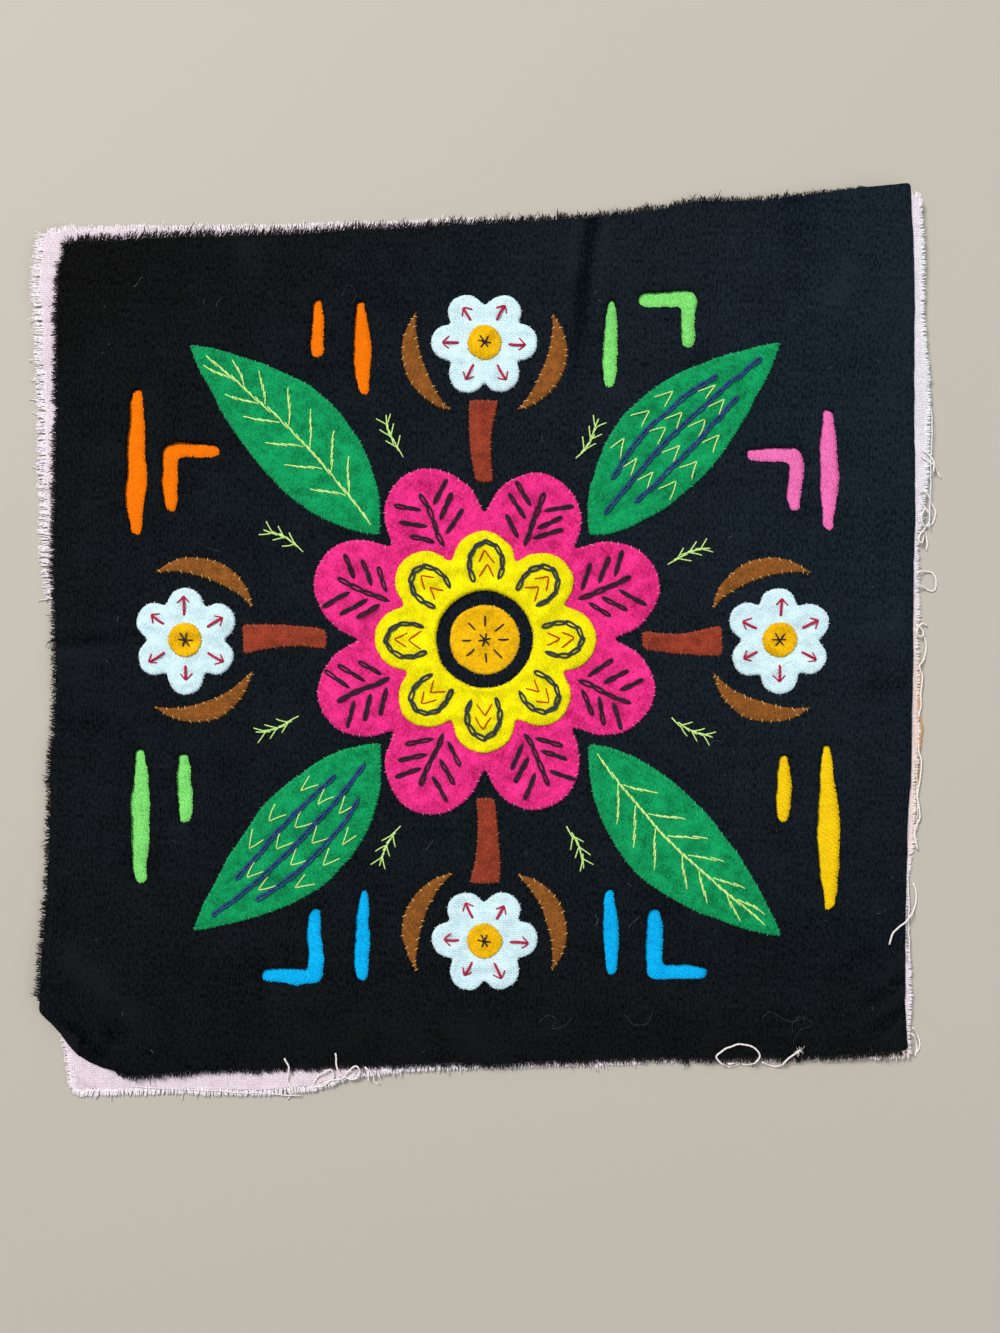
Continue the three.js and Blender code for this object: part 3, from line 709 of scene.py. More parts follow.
rawPush = np.array([[edgeKind(x, y) == "raw"] for x, y in frontOuter])
highPush = rawPush * np.clip((frontOuter[:, 1:] - frontLook["topFrom"]) / frontLook["topOver"], 0, 1)
highPush = highPush * np.clip((hemmedFrom - frontOuter[:, :1]) / frontLook["hemmedOver"], 0, 1)
frontOuter = frontOuter + highPush * (drawnIn(frontOuter, frontLook["topFrayed"]) - frontOuter)
rawPush = rawPush * ((frontOuter[:, :1] < hemmedFrom) | (frontOuter[:, 1:] < 0))
frontOuter = frontOuter + rawPush * dice.normal(0, frontLook["ragged"], frontOuter.shape)
outerTree = pointTree(frontOuter)
frontLoops = [frontOuter] + slitRim["loops"]
frontCloth = fillCloth(frontLoops, frontLook["hems"], frontLook["grid"], frontLook["turn"])
finer(frontCloth, foldFacet["middle"], foldFacet["near"], 2)
shapedLike(frontCloth, "front", frontLook["laps"])


def hemFall(distance, drop, roll):
    # how far a rolled edge falls below the cloth, drop at the very edge and nothing past roll
    t = min(1, distance / roll)
    return drop * (1 - math.sqrt(max(0, 1 - (1 - t) ** 2)))


foldMiddle = Vector(foldFacet["middle"]) + Vector(centre)
wearAndShade = frontCloth.verts.layers.float.new("wearAndShade")      # painted shade and highlight: creases and ripples are painted lighter on top and darker in their troughs, plus real rubbed wear
for v, rise in zip(frontCloth.verts, creaseRises(frontCloth, frontCreases)):
    x, y, z = v.co
    edge = smoothStep(max(abs(x), abs(y)), *frontLook["edge"])
    z -= frontLook["sink"] + frontLook["edgeSink"] * edge
    spot, i, slitGap = slitRim["tree"].find((x, y, 0))
    ripple = waves(spot.x, spot.y, slitLook["rippleSize"], 8)
    ripple *= math.exp(-(slitGap / slitLook["rippleReach"]) ** 2)
    z += slitLook["ripple"] * ripple * smoothStep(slitGap, 0.2, 1.6)
    z -= hemFall(slitGap, slitLook["drop"], slitLook["roll"])
    z += slitLook["puff"] * (slitRim["puff"][i] - 0.5) * math.exp(-slitGap / slitLook["puffReach"])
    cockle = waves(x, y, frontLook["cockleSize"], 2)
    z += frontLook["swell"] * waves(x, y, frontLook["swellSize"], 1) + frontLook["cockle"] * cockle + rise
    z += edge * frontLook["edgeWave"] * waves(x, y, frontLook["edgeWaveSize"], 5)
    # painted shade and highlight that follow the creases, ripples and cockles
    v[wearAndShade] = np.dot(frontLook["paintedShadeBy"], (rise, ripple, cockle))
    for at, reach, amount in frontRubs:
        aside, up = (np.array([x, y]) - centre - np.array(at)) / np.array(reach)
        v[wearAndShade] += amount * math.exp(-aside * aside - up * up)
    if (v.co.xy - foldMiddle).length < foldFacet["near"]:
        height, inside, outside = facetOf(x, y, foldFacet)
        z += height
        # painted highlight on the facet and painted shadow beside the fold
        v[wearAndShade] += foldFacet["paintedHighlight"] * smoothStep(inside, 0, 0.7)
        if pastFold(x, y) > foldFacet["shadeFrom"] and outside > 0:
            v[wearAndShade] -= foldFacet["shade"] * math.exp(-(outside / foldFacet["shadeWidth"]) ** 2)
    rim, i, outerGap = outerTree.find((x, y, 0))
    kind = edgeKind(rim.x, rim.y)
    z -= hemFall(outerGap, frontLook["drop"][kind], frontLook["roll"][kind])
    v.co.z = max(z, heightOn(backingTree, x, y) + frontLook["thickness"] + frontLook["least"])

# the cloth that is turned under along the clean edge and the corner
turnedEdges = [edge for edge in frontCloth.edges if edge.is_boundary
               and all(outerTree.find((v.co.x, v.co.y, 0))[2] < 0.02 for v in edge.verts)
               and all(edgeKind(v.co.x, v.co.y) != "raw" for v in edge.verts)]
for inwards, fall in frontLook["turnedUnder"]:
    grown = bmesh.ops.extrude_edge_only(frontCloth, edges=turnedEdges)["geom"]
    for v in (part for part in grown if isinstance(part, bmesh.types.BMVert)):
        away = Vector((-1, -0.2 * np.sign(v.co.y), 0)) if v.co.x > 0 else Vector((0.7, 0.7, 0))
        v.co += away * inwards
        v.co.z = max(v.co.z - fall, heightOn(backingTree, v.co.x, v.co.y) + 0.08)
    turnedEdges = [part for part in grown if isinstance(part, bmesh.types.BMEdge)]
frontTree = BVHTree.FromBMesh(frontCloth)
front = finishCloth("front", frontCloth, "black_cotton", frontLook, frontLook["turn"])
print("front:", len(front.data.polygons), "faces,", len(slitLoops), "slits")


# scraps, which puff up in the slits

scrapLook = {
    "thickness": 0.3, "grid": 0.8, "spacing": 1.6, "rounds": 2, "wander": 0.5,
    "level": 1.75, "puff": 0.64, "ripple": 0.18, "rippleSize": 2.6, "rises": (-1.7, 0.8),
}
scraps = {
    "scrap_orange_top": "orange_cotton",
    "scrap_orange_left": "orange_cotton",
    "scrap_green_top": "light_green_cotton",
    "scrap_pink_right": "light_pink_cotton",
    "scrap_green_left": "light_green_cotton",
    "scrap_blue_left": "blue_cotton",
    "scrap_blue_right": "blue_cotton",
    "scrap_gold_right": "gold_cotton",
}
scrapFinishes = {"scrap_gold_right": "gold_cotton_painted_lighter"}       # the gold scrap is painted lighter against the shade of its slit; the rest look like their slot
for number, (node, slot) in enumerate(scraps.items()):
    turn = dice.uniform(-0.5, 0.5)
    outline = cutLoop(topLoops(node)[0], scrapLook)
    cloth = fillCloth([outline], [], scrapLook["grid"], turn)
    for v in cloth.verts:
        x, y = v.co.xy
        spot, i, gap = slitRim["tree"].find((x, y, 0))
        inside = (np.array([x, y]) - spot.xy) @ slitRim["inward"][i] < 0
        rise = smoothStep(gap if inside else -gap, *scrapLook["rises"])
        ripple = scrapLook["ripple"] * waves(x, y, scrapLook["rippleSize"], 6 + number)
        v.co.z = scrapLook["level"] + rise * (scrapLook["puff"] + ripple)
    piece = finishCloth(node, cloth, slot, scrapLook, turn, scrapFinishes.get(node))
    soft[piece] = {"flat": flatSize(outline), "on": "backing_cloth"}
print("scraps:", len(scraps))


# patches, turned under along their edges and sewn down

patchLook = {
    "thickness": 0.28, "grid": 0.8, "hems": [0.11, 0.15, 0.24, 0.4], "narrowHems": [0.08, 0.11, 0.16],
    "narrowUnder": 0.73, "spacing": 0.6, "rounds": 5, "wander": 0.42, "pitch": 2.7, "drawn": 0.17,
    "puff": 0.2, "roll": 0.85, "hemWidth": 3.0, "hemRidge": 0.13, "hemArea": 0.5, "sunk": 0.03, "least": 0.36,
    "inner": (0.6, 2.4), "cockle": 0.5, "cockleSize": 4.2, "swell": 0.6, "swellSize": 10, "puffReach": 1.7,
    "crumple": 0.54, "crumpleSize": 6.5, "wrinkle": 0.16, "wrinkleSize": 3.2,
    "paintedShadeBy": (0.36, 0.5, 0.25),        # painted shade by wrinkles, creases and cockles
}
# soft creases where the cloth is drawn together by its stitches: from, to, width and rise
patchCreases = [
    ((41, 22), (31, 11), 1.3, 0.38), ((44, 14), (37, 5), 1.2, -0.35),
    ((20, 43), (8, 36), 1.4, 0.4), ((9, 41), (20, 30), 1.1, -0.3),
    ((-24, 40), (-8, 34), 1.5, 0.36), ((-12, 45), (-18, 31), 1.2, -0.34),
    ((-44, 20), (-33, 8), 1.3, 0.4), ((-30, 22), (-43, 10), 1.2, -0.32),
    ((-43, -9), (-29, -16), 1.4, 0.4), ((-38, -24), (-30, -9), 1.2, -0.34),
    ((-20, -44), (-12, -29), 1.3, 0.36), ((-6, -38), (-20, -36), 1.2, -0.3),
    ((8, -43), (19, -33), 1.4, 0.4), ((25, -39), (13, -30), 1.2, -0.32),
    ((44, -8), (30, -15), 1.3, 0.38), ((40, -25), (33, -10), 1.2, -0.3),
    ((4, 26), (11, 18), 1.0, 0.26), ((-24, 4), (-15, -5), 1.0, 0.28),
    ((-9, -22), (2, -26), 1.0, -0.26), ((22, -12), (24, 2), 1.1, 0.26),
    ((45, 58), (60, 49), 1.5, 0.42), ((66, 70), (52, 66), 1.3, -0.34),
    ((36, 38), (48, 33), 1.2, 0.34), ((-60, 46), (-48, 60), 1.5, 0.42),
    ((-70, 62), (-58, 66), 1.2, -0.36), ((-38, 44), (-34, 32), 1.2, 0.34),
    ((-48, -62), (-58, -47), 1.5, 0.42), ((-66, -60), (-72, -72), 1.3, -0.34),
    ((-32, -38), (-44, -36), 1.2, 0.34), ((60, -47), (46, -56), 1.5, 0.42),
    ((62, -70), (72, -64), 1.2, -0.34), ((34, -42), (42, -34), 1.3, 0.36),
    ((-4, 58), (4, 55), 1.1, 0.32), ((4, 63), (-3, 61), 1.0, -0.28),
    ((-58, 4), (-55, -4), 1.1, 0.32), ((-50, -4), (-48, 3), 1.0, -0.28),
    ((4, -57), (-4, -54), 1.1, 0.32), ((-4, -63), (3, -61), 1.0, -0.28),
    ((57, -4), (54, 4), 1.1, 0.32), ((62, 4), (61, -3), 1.0, -0.28),
]
arms = ("top", "left", "bottom", "right")
leaves = ("top_right", "top_left", "bottom_left", "bottom_right")
# nodes, slot, thread, and how high the patch stands on what it is sewn to
patchKinds = [
    (["rosette_pink"], "hot_pink_cotton", "pink_thread", 0.85),
    (["leaf_" + corner for corner in leaves], "green_cotton", "green_thread", 0.8),
    (["stem_" + arm for arm in arms], "red_brown_cotton", "brown_thread", 0.72),
    ([f"crescent_{arm}_{side}" for arm in arms for side in "ab"], "gold_brown_cotton", "gold_thread", 0.7),
    (["blossom_" + arm for arm in arms], "white_cotton", "white_thread", 0.8),
    (["rosette_heart"], "gold_cotton", "gold_thread", 0.8),
    (["rosette_yellow"], "yellow_cotton", "yellow_thread", 0.75),
    (["blossom_heart_" + arm for arm in arms], "gold_cotton", "gold_thread", 0.66),
]
patches = [(node, *kind) for nodes, *kind in patchKinds for node in nodes]
sewnOn = {"rosette_yellow": "rosette_pink"}        # the rest are sewn to the front
sewnOn.update(("blossom_heart_" + arm, "blossom_" + arm) for arm in arms)

clothTrees = {"front": frontTree}
patchRims = {}
for number, (node, slot, thread, stands) in enumerate(patches):
    turn = dice.uniform(-0.7, 0.7)
    loops = [cutLoop(loop, patchLook) for loop in topLoops(node)]
    rim = sewnRim(loops, patchLook["pitch"], patchLook["drawn"])
    hems = patchLook["narrowHems" if stands < patchLook["narrowUnder"] else "hems"]
    cloth = fillCloth(rim["loops"], hems, patchLook["grid"], turn)
    wearAndShade = cloth.verts.layers.float.new("wearAndShade")
    under = sewnOn.get(node, "front")
    for v, rise in zip(cloth.verts, creaseRises(cloth, patchCreases)):
        x, y = v.co.xy
        spot, i, gap = rim["tree"].find((x, y, 0))
        below = heightOn(clothTrees[under], x, y)
        z = below - patchLook["sunk"] + stands - hemFall(gap, stands, patchLook["roll"])
        puff = patchLook["puff"] * (rim["puff"][i] - 0.6) * math.exp(-gap / patchLook["puffReach"])
        z += puff * smoothStep(gap, 0, 0.4)
        inner = smoothStep(gap, *patchLook["inner"])
        z -= patchLook["hemRidge"] * smoothStep(gap, patchLook["hemWidth"], patchLook["hemWidth"] + 0.9)
        cockle = waves(x, y, patchLook["cockleSize"], number)
        swell = waves(x, y, patchLook["swellSize"], number + 40)
        z += inner * (rise + patchLook["cockle"] * cockle + patchLook["swell"] * swell)
        slanted = (x * 0.6 + y * 0.5, y * 0.9 - x * 0.4)
        crumple = (1 - abs(waves(*slanted, patchLook["crumpleSize"], number + 80))) ** 5 - 0.35
        wrinkle = (1 - abs(waves(*slanted, patchLook["wrinkleSize"], number + 120))) ** 4 - 0.4
        z += inner * (patchLook["crumple"] * crumple + patchLook["wrinkle"] * wrinkle)
        # painted shade and highlight that follow the wrinkles, creases and cockles
        v[wearAndShade] = inner * np.dot(patchLook["paintedShadeBy"], (wrinkle, rise, cockle))
        v.co.z = max(z, below + patchLook["least"] * smoothStep(gap, 0, 0.8))
    clothTrees[node] = BVHTree.FromBMesh(cloth)
    patchRims[node] = rim
    piece = finishCloth(node, cloth, slot, patchLook, turn)
    size, area = flatSize(rim["loops"][0])
    area += sum(loopArea(loop) for loop in rim["loops"][1:])
    area += patchLook["hemArea"] * sum(lengthsAlong(closedLine(loop))[-1] for loop in rim["loops"])
    soft[piece] = {"flat": (size, area), "on": under + "_cloth"}
print("patches:", len(patches))


# threads: many tubes in one mesh

def topAt(x, y):
    spots = [dropOn(tree, x, y) for tree in clothTrees.values()]
    heights = [spot.z for spot in spots if spot is not None]
    return max(heights) if heights else heightOn(backingTree, x, y)


def tubes(name, paths, thread, slot, sides=4):
    # each path has points (n by 3, mm), a radius or one for each point, and may be closed
    corners, faces, twist, count = [], [], [], 0
    for path in paths:
        points = np.asarray(path["points"], float)
        n = len(points)
        closed = path.get("closed", False)
        radius = np.broadcast_to(path["radius"], n)[:, None, None]
        if closed:
            run = np.roll(points, -1, 0) - np.roll(points, 1, 0)
        else:
            run = np.gradient(points, axis=0)
        run = run / np.linalg.norm(run, axis=1)[:, None]
        side = np.cross(run, (0, 0, 1))
        side = side / np.maximum(np.linalg.norm(side, axis=1), 1e-6)[:, None]
        lift = np.cross(side, run)
        angle = (np.arange(sides) * 2 * math.pi / sides + math.pi / sides)[None, :, None]
        ring = points[:, None] + radius * (np.cos(angle) * side[:, None] + np.sin(angle) * lift[:, None])
        corners.append(ring.reshape(-1, 3))
        along = lengthsAlong(closedLine(points))
        for i in range(n if closed else n - 1):
            j = (i + 1) % n
            for k in range(sides):
                m = (k + 1) % sides
                near, far = count + i * sides, count + j * sides
                faces.append([near + k, far + k, far + m, near + m])
                twist += [(along[i], k / sides), (along[i + 1], k / sides),
                          (along[i + 1], (k + 1) / sides), (along[i], (k + 1) / sides)]
        if not closed:
            far = count + (n - 1) * sides
            faces += [list(range(count, count + sides)), list(range(far, far + sides))[::-1]]
            twist += [(0, 0)] * sides + [(along[n - 1], 0)] * sides
        count += n * sides
    mesh = bpy.data.meshes.new(name)
    mesh.from_pydata((np.concatenate(corners) * mm).tolist(), [], faces)
    mesh.uv_layers.new(name="twist").data.foreach_set("uv", np.array(twist, np.float32).ravel())
    mesh.polygons.foreach_set("use_smooth", [True] * len(mesh.polygons))
    mesh.materials.append(flossFinishes[thread])
    piece = placed(name, mesh)
    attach(piece, "root")
    return piece


def stitchPath(a, b, radius):
    # a straight stitch: it comes up at a, lies on the cloth and goes down at b
    a, b = np.array(a, float), np.array(b, float)
    bow = dice.normal(0, 0.025) * np.linalg.norm(b - a)
    side = leftOf(b - a) / max(np.linalg.norm(b - a), 1e-6)
    points = []
    for t, rise in ((0, -1), (0.1, 0.35), (0.36, 0.85), (0.66, 0.85), (0.9, 0.35), (1, -1)):
        x, y = a + t * (b - a) + 4 * t * (1 - t) * bow * side
        points.append((x, y, topAt(x, y) + rise * radius))
    return {"points": points, "radius": radius * np.array([0.8, 1, 1, 1, 1, 0.8])}


def evenPoints(line, pitch):
    # points a pitch apart on a smooth line through a few points
    line = np.array(line, float)
    if len(line) > 2:
        fine = np.linspace(0, len(line) - 1, 24 * len(line))
        slope = np.gradient(line, axis=0)
        i = np.minimum(fine.astype(int), len(line) - 2)
        line = bent((fine - i)[:, None], line[i], line[i + 1], slope[i], slope[i + 1])
    along = lengthsAlong(line)
    count = max(1, round(along[-1] / pitch))
    at = np.linspace(0, along[-1], count + 1)
    return np.stack([np.interp(at, along, line[:, 0]), np.interp(at, along, line[:, 1])], 1)


chainLook = {"pitch": 3.3, "overlap": 1.2, "half": 0.44, "radius": 0.32}
linkShape = [(0.02, 0.0), (0.18, 0.55), (0.45, 0.95), (0.75, 1.0), (0.94, 0.6),
             (1.0, 0.0), (0.94, -0.6), (0.75, -1.0), (0.45, -0.95), (0.18, -0.55)]


def chainPaths(line, look=chainLook):
    # chain stitch: each link is a loop that the next one holds down
    stops = evenPoints(line, look["pitch"])
    stops[1:-1] += dice.normal(0, 0.09, stops[1:-1].shape)
    links = []
    for a, b in zip(stops, stops[1:]):
        run = (b - a) * look["overlap"]
        side = leftOf(run) / np.linalg.norm(run)
        half = look["half"] * dice.uniform(0.8, 1.25)
        points = []
        for u, v in linkShape:
            x, y = a + u * run + v * half * side
            points.append((x, y, topAt(x, y) + look["radius"] * (0.75 if u > 0.1 else 0.1)))
        links.append({"points": points, "radius": look["radius"] * dice.uniform(0.9, 1.08), "closed": True})
    return links


def stemPaths(line, pitch, radius):
    # stem stitch: slanting stitches, each half beside the last
    stops = evenPoints(line, pitch / 2)
    laid = []
    for a, b in zip(stops, stops[2:]):
        side = leftOf(b - a) / np.linalg.norm(b - a)
        laid.append(stitchPath(a + 0.28 * side, b - 0.28 * side, radius * dice.uniform(0.9, 1.1)))
    return laid or [stitchPath(stops[0], stops[-1], radius)]


# sewing: whip stitches on the patches, black ones in the slits

whipLook = {"in": 0.6, "out": 0.3, "radius": 0.13, "slant": 0.25, "hidden": 20}
whips = {}
for node, slot, thread, stands in patches:
    for point, inward in patchRims[node]["stitches"]:
        if node == "rosette_pink" and np.linalg.norm(point - centre) < whipLook["hidden"]:
            continue        # the yellow flower hides this edge
        along = leftOf(inward) * whipLook["slant"] * dice.normal(0.6, 0.6)
        start = point + inward * whipLook["in"] * dice.uniform(0.7, 1.25) + along
        end = point - inward * whipLook["out"] * dice.uniform(0.6, 1.3) - along
        whips.setdefault((thread, slot), []).append(stitchPath(start, end, whipLook["radius"]))
sewing = [tubes("sewing_" + slot, paths, thread, slot) for (thread, slot), paths in whips.items()]

slitStitches = []
scrapTop = 2.28        # where a stitch goes down into the scrap
for point, inward in slitRim["stitches"]:
    along = leftOf(inward) * whipLook["slant"] * dice.normal(0, 1)
    a = point + inward * dice.uniform(0.3, 0.6) + along
    b = point - inward * dice.uniform(0.15, 0.55) - along
    top = topAt(*a)
    points = [(*a, top - 0.15), (*(0.7 * a + 0.3 * b), top + 0.02),
              (*(0.35 * a + 0.65 * b), scrapTop + 0.28), (*b, scrapTop - 0.1)]
    slitStitches.append({"points": points, "radius": whipLook["radius"]})
sewing.append(tubes("sewing_slits", slitStitches, "black_yarn", "black_cotton"))
print("sewing:", sum(len(paths) for paths in whips.values()) + len(slitStitches), "stitches")


# embroidery

def petalPoint(middle, degrees, out, aside=0):
    # out along a petal's middle line, and aside of it
    way = np.array([math.cos(math.radians(degrees)), math.sin(math.radians(degrees))])
    return middle + out * way + aside * leftOf(way)


def spokes(count, first, wobble, whole=360):
    # the angles of hand-spaced petals or stitches
    for k in range(count):
        yield first + k * whole / count + dice.normal(0, wobble)


embroiderySlots = {
    "black_thread": "black_cotton", "navy_thread": "blue_cotton", "slate_thread": "black_cotton",
    "lime_thread": "light_green_cotton", "red_thread": "orange_cotton", "crimson_thread": "red_brown_cotton",
}
embroidery = {thread: [] for thread in embroiderySlots}

# pink petals: a chain down the middle and dashes slanting from it
pinkLook = {"petals": 8, "first": 22.5, "chain": (27.5, 42.0), "dashes": (29.5, 34.0, 38.5), "gap": 1.9,
            "reach": (4.3, 5.4)}
dashLook = {"pitch": 3.4, "overlap": 1.2, "half": 0.36, "radius": 0.31}
for degrees in spokes(pinkLook["petals"], pinkLook["first"], 1.0):
    outs = np.linspace(*pinkLook["chain"], 4)
    line = [petalPoint(centre, degrees, out, dice.normal(0, 0.25)) for out in outs]
    embroidery["black_thread"] += chainPaths(line)
    for out in pinkLook["dashes"]:
        for aside in (-1, 1):
            start = out + dice.normal(0, 0.45)
            long, wide = np.array(pinkLook["reach"]) * dice.uniform(0.8, 1.15, 2)
            dash = [petalPoint(centre, degrees, start, aside * pinkLook["gap"]),
                    petalPoint(centre, degrees, start + long, aside * (pinkLook["gap"] + wide))]
            embroidery["black_thread"] += chainPaths(dash, dashLook)

# yellow petals: a chain stitched loop with red arrowheads
yellowLook = {
    "petals": 8, "first": 0, "arrows": (17.0, 20.8), "long": 3.4, "wide": 2.1, "radius": 0.2,
    "loop": ((16.2, -3.4), (20.5, -4.6), (24.6, -3.3), (26.4, 0), (24.6, 3.3), (20.5, 4.6), (16.2, 3.4)),
}
for degrees in spokes(yellowLook["petals"], yellowLook["first"], 1.2):
    embroidery["slate_thread"] += chainPaths([petalPoint(centre, degrees, *at) for at in yellowLook["loop"]])
    for out in yellowLook["arrows"]:
        tip = petalPoint(centre, degrees, out + yellowLook["long"], dice.normal(0, 0.25))
        for aside in (-yellowLook["wide"], yellowLook["wide"]):
            foot = petalPoint(centre, degrees, out + dice.normal(0, 0.2), aside * dice.uniform(0.8, 1.2))
            embroidery["red_thread"].append(stitchPath(foot, tip, yellowLook["radius"]))

# the middle gold disc: dark dashes round a star
heartLook = {"dashes": 8, "from": 3.6, "to": 6.6, "radius": 0.25,
             "star": 1.9, "starTurn": 12, "starRadius": 0.24}
for degrees in spokes(heartLook["dashes"], 0, 4):
    start = petalPoint(centre, degrees, heartLook["from"])
    end = petalPoint(centre, degrees, heartLook["to"] * dice.uniform(0.92, 1.06))
    embroidery["black_thread"].append(stitchPath(start, end, heartLook["radius"]))
for degrees in (0, 60, 120):
    reach = heartLook["star"] * dice.uniform(0.85, 1.1)
    ends = [petalPoint(centre, heartLook["starTurn"] + degrees + half, reach) for half in (0, 180)]
    embroidery["black_thread"].append(stitchPath(*ends, heartLook["starRadius"]))

# white blossoms: a crimson line with two barbs on each petal, dark stars on their gold discs
blossomLook = {"petals": 6, "line": (6.6, 11.4), "radius": 0.36, "barb": 1.9, "wide": 1.7, "barbRadius": 0.2,
               "star": 2.3, "starRadius": 0.22}
armAngles = {"top": 90, "left": 180, "bottom": 270, "right": 0}
for arm, armAngle in armAngles.items():
    middle = nodeMiddle("blossom_heart_" + arm)
    for degrees in spokes(blossomLook["petals"], armAngle + 180 / blossomLook["petals"], 3):
        start, tip = (petalPoint(middle, degrees, out * dice.uniform(0.95, 1.05))
                      for out in blossomLook["line"])
        embroidery["crimson_thread"].append(stitchPath(start, tip, blossomLook["radius"]))
        out = np.linalg.norm(tip - middle) - blossomLook["barb"]
        for aside in (-blossomLook["wide"], blossomLook["wide"]):
            barb = petalPoint(middle, degrees, out, aside * dice.uniform(0.8, 1.15))
            embroidery["crimson_thread"].append(stitchPath(tip, barb, blossomLook["barbRadius"]))
    for degrees in spokes(3, 0, 6, 180):
        ends = [petalPoint(middle, degrees + half, blossomLook["star"] * dice.uniform(0.8, 1.1))
                for half in (0, 180)]
        embroidery["black_thread"].append(stitchPath(*ends, blossomLook["starRadius"]))


def leafFrame(node):
    # a leaf's own coordinates: u from base to tip, v from one side to the other
    loop = patchRims[node]["loops"][0]
    far = np.linalg.norm(loop - centre, axis=1)
    base, tip = loop[far.argmin()], loop[far.argmax()]
    length = np.linalg.norm(tip - base)
    axis = (tip - base) / length
    side = leftOf(axis)
    u, v = (loop - base) @ axis / length, (loop - base) @ side
    edges = []
    for sign in (-1, 1):
        chosen = sign * v > 0
        order = np.argsort(u[chosen])
        edges.append((u[chosen][order], v[chosen][order]))

    def place(along, aside):
        low, high = (np.interp(along, *edge) for edge in edges)
        return base + axis * length * along + side * ((low + high) / 2 + aside * (high - low) / 2)
    return place


# two leaves have navy chain lines and lime arrowheads, two have lime veins; places are shares of the leaf
leafLook = {
    "lines": {-0.44: (0.20, 0.74), 0.0: (0.09, 0.90), 0.44: (0.20, 0.74)},
    "arrows": (0.26, 0.39, 0.52, 0.65), "arrowsAside": (-0.23, 0.23, -0.7, 0.7),
    "outerEnd": 0.6, "outerOn": 0.03, "long": 0.066, "wide": 0.16, "arrowRadius": 0.19,
    "stem": (0.04, 0.93), "stemPitch": 4.2, "stemRadius": 0.21,
    "veins": (0.16, 0.28, 0.40, 0.52, 0.64, 0.75), "veinRun": 0.11, "veinReach": 0.62, "veinOn": 0.04,
    "veinPitch": 4.0, "veinRadius": 0.19,
}
for node in ("leaf_top_right", "leaf_bottom_left"):
    place = leafFrame(node)
    for aside, ends in leafLook["lines"].items():
        embroidery["navy_thread"] += chainPaths([place(u, aside) for u in np.linspace(*ends, 6)])
    for u in leafLook["arrows"]:
        for aside in leafLook["arrowsAside"]:
            outer = abs(aside) > 0.5
            if outer and u > leafLook["outerEnd"]:
                continue
            start = u + dice.normal(0, 0.012) + outer * leafLook["outerOn"]
            tip = place(start + leafLook["long"], aside)
            for half in (-leafLook["wide"], leafLook["wide"]):
                foot = place(start, aside + half * dice.uniform(0.8, 1.3))
                embroidery["lime_thread"].append(stitchPath(foot, tip, leafLook["arrowRadius"]))
for node in ("leaf_top_left", "leaf_bottom_right"):
    place = leafFrame(node)
    stem = [place(u, 0) for u in np.linspace(*leafLook["stem"], 8)]
    embroidery["lime_thread"] += stemPaths(stem, leafLook["stemPitch"], leafLook["stemRadius"])
    for u in leafLook["veins"]:
        for half in (-1, 1):
            start = u + dice.normal(0, 0.012) + (half > 0) * leafLook["veinOn"]
            reach = leafLook["veinReach"] * dice.uniform(0.85, 1.08)
            vein = [place(start + t * leafLook["veinRun"], half * (0.04 + t * reach)) for t in (0, 0.5, 1)]
            embroidery["lime_thread"] += stemPaths(vein, leafLook["veinPitch"], leafLook["veinRadius"])

# lime sprigs on the black ground
sprigLook = {"count": 8, "first": 22.5, "from": 54.0, "long": 12.5, "bow": 1.2, "pitch": 4.0, "radius": 0.2,
             "pairs": (0.25, 0.52, 0.78), "side": 3.4, "aside": 2.108, "sideRadius": 0.18}
bow = sprigLook["bow"]
for degrees in spokes(sprigLook["count"], sprigLook["first"], 2):
    start = sprigLook["from"] + dice.normal(0, 0.6)
    line = np.array([(start + t * sprigLook["long"], bow * math.sin(3 * t)) for t in (0, 0.33, 0.67, 1)])
    bow = -bow        # they bend left and right by turns
    stem = [petalPoint(centre, degrees, *at) for at in line]
    embroidery["lime_thread"] += stemPaths(stem, sprigLook["pitch"], sprigLook["radius"])
    for t in sprigLook["pairs"]:
        out, aside = (np.interp(t * 3, range(4), line[:, axis]) for axis in (0, 1))
        root = petalPoint(centre, degrees, out, aside)
        for half in (-sprigLook["aside"], sprigLook["aside"]):
            tip = petalPoint(centre, degrees, out + sprigLook["side"] * dice.uniform(0.7, 1), aside + half)
            embroidery["lime_thread"].append(stitchPath(root, tip, sprigLook["sideRadius"]))

embroidered = [tubes("embroidery_" + thread, paths, thread, embroiderySlots[thread], 5)
               for thread, paths in embroidery.items()]
print("embroidery:", sum(len(paths) for paths in embroidery.values()), "stitches")


# frayed edges, loose threads and lint

def fibre(start, way, length, curl, z, tip, radius):
    # a thin fibre from an edge, bending aside as it goes out and rising or sinking to its tip
    points = []
    for t in (0, 0.4, 0.75, 1):
        x, y = start + way * length * t + leftOf(way) * curl * length * t * t
        points.append((x, y, z + (tip - z) * t))
    return {"points": points, "radius": radius * np.array([1, 0.95, 0.8, 0.45])}


def outlineWalk(loop, pitch):
    # places along a loop with the way out of the cloth
    closed = closedLine(loop)
    along = lengthsAlong(closed)
    at = np.arange(0, along[-1], pitch)
    smooth = sum(np.roll(loop, shift, 0) for shift in range(-4, 5)) / 9
    places = np.stack([np.interp(at, along, closed[:, axis]) for axis in (0, 1)], 1)
    nearest = np.minimum(np.searchsorted(along, at), len(loop) - 1)
    return zip(places, -waysIn(smooth, 3)[nearest])


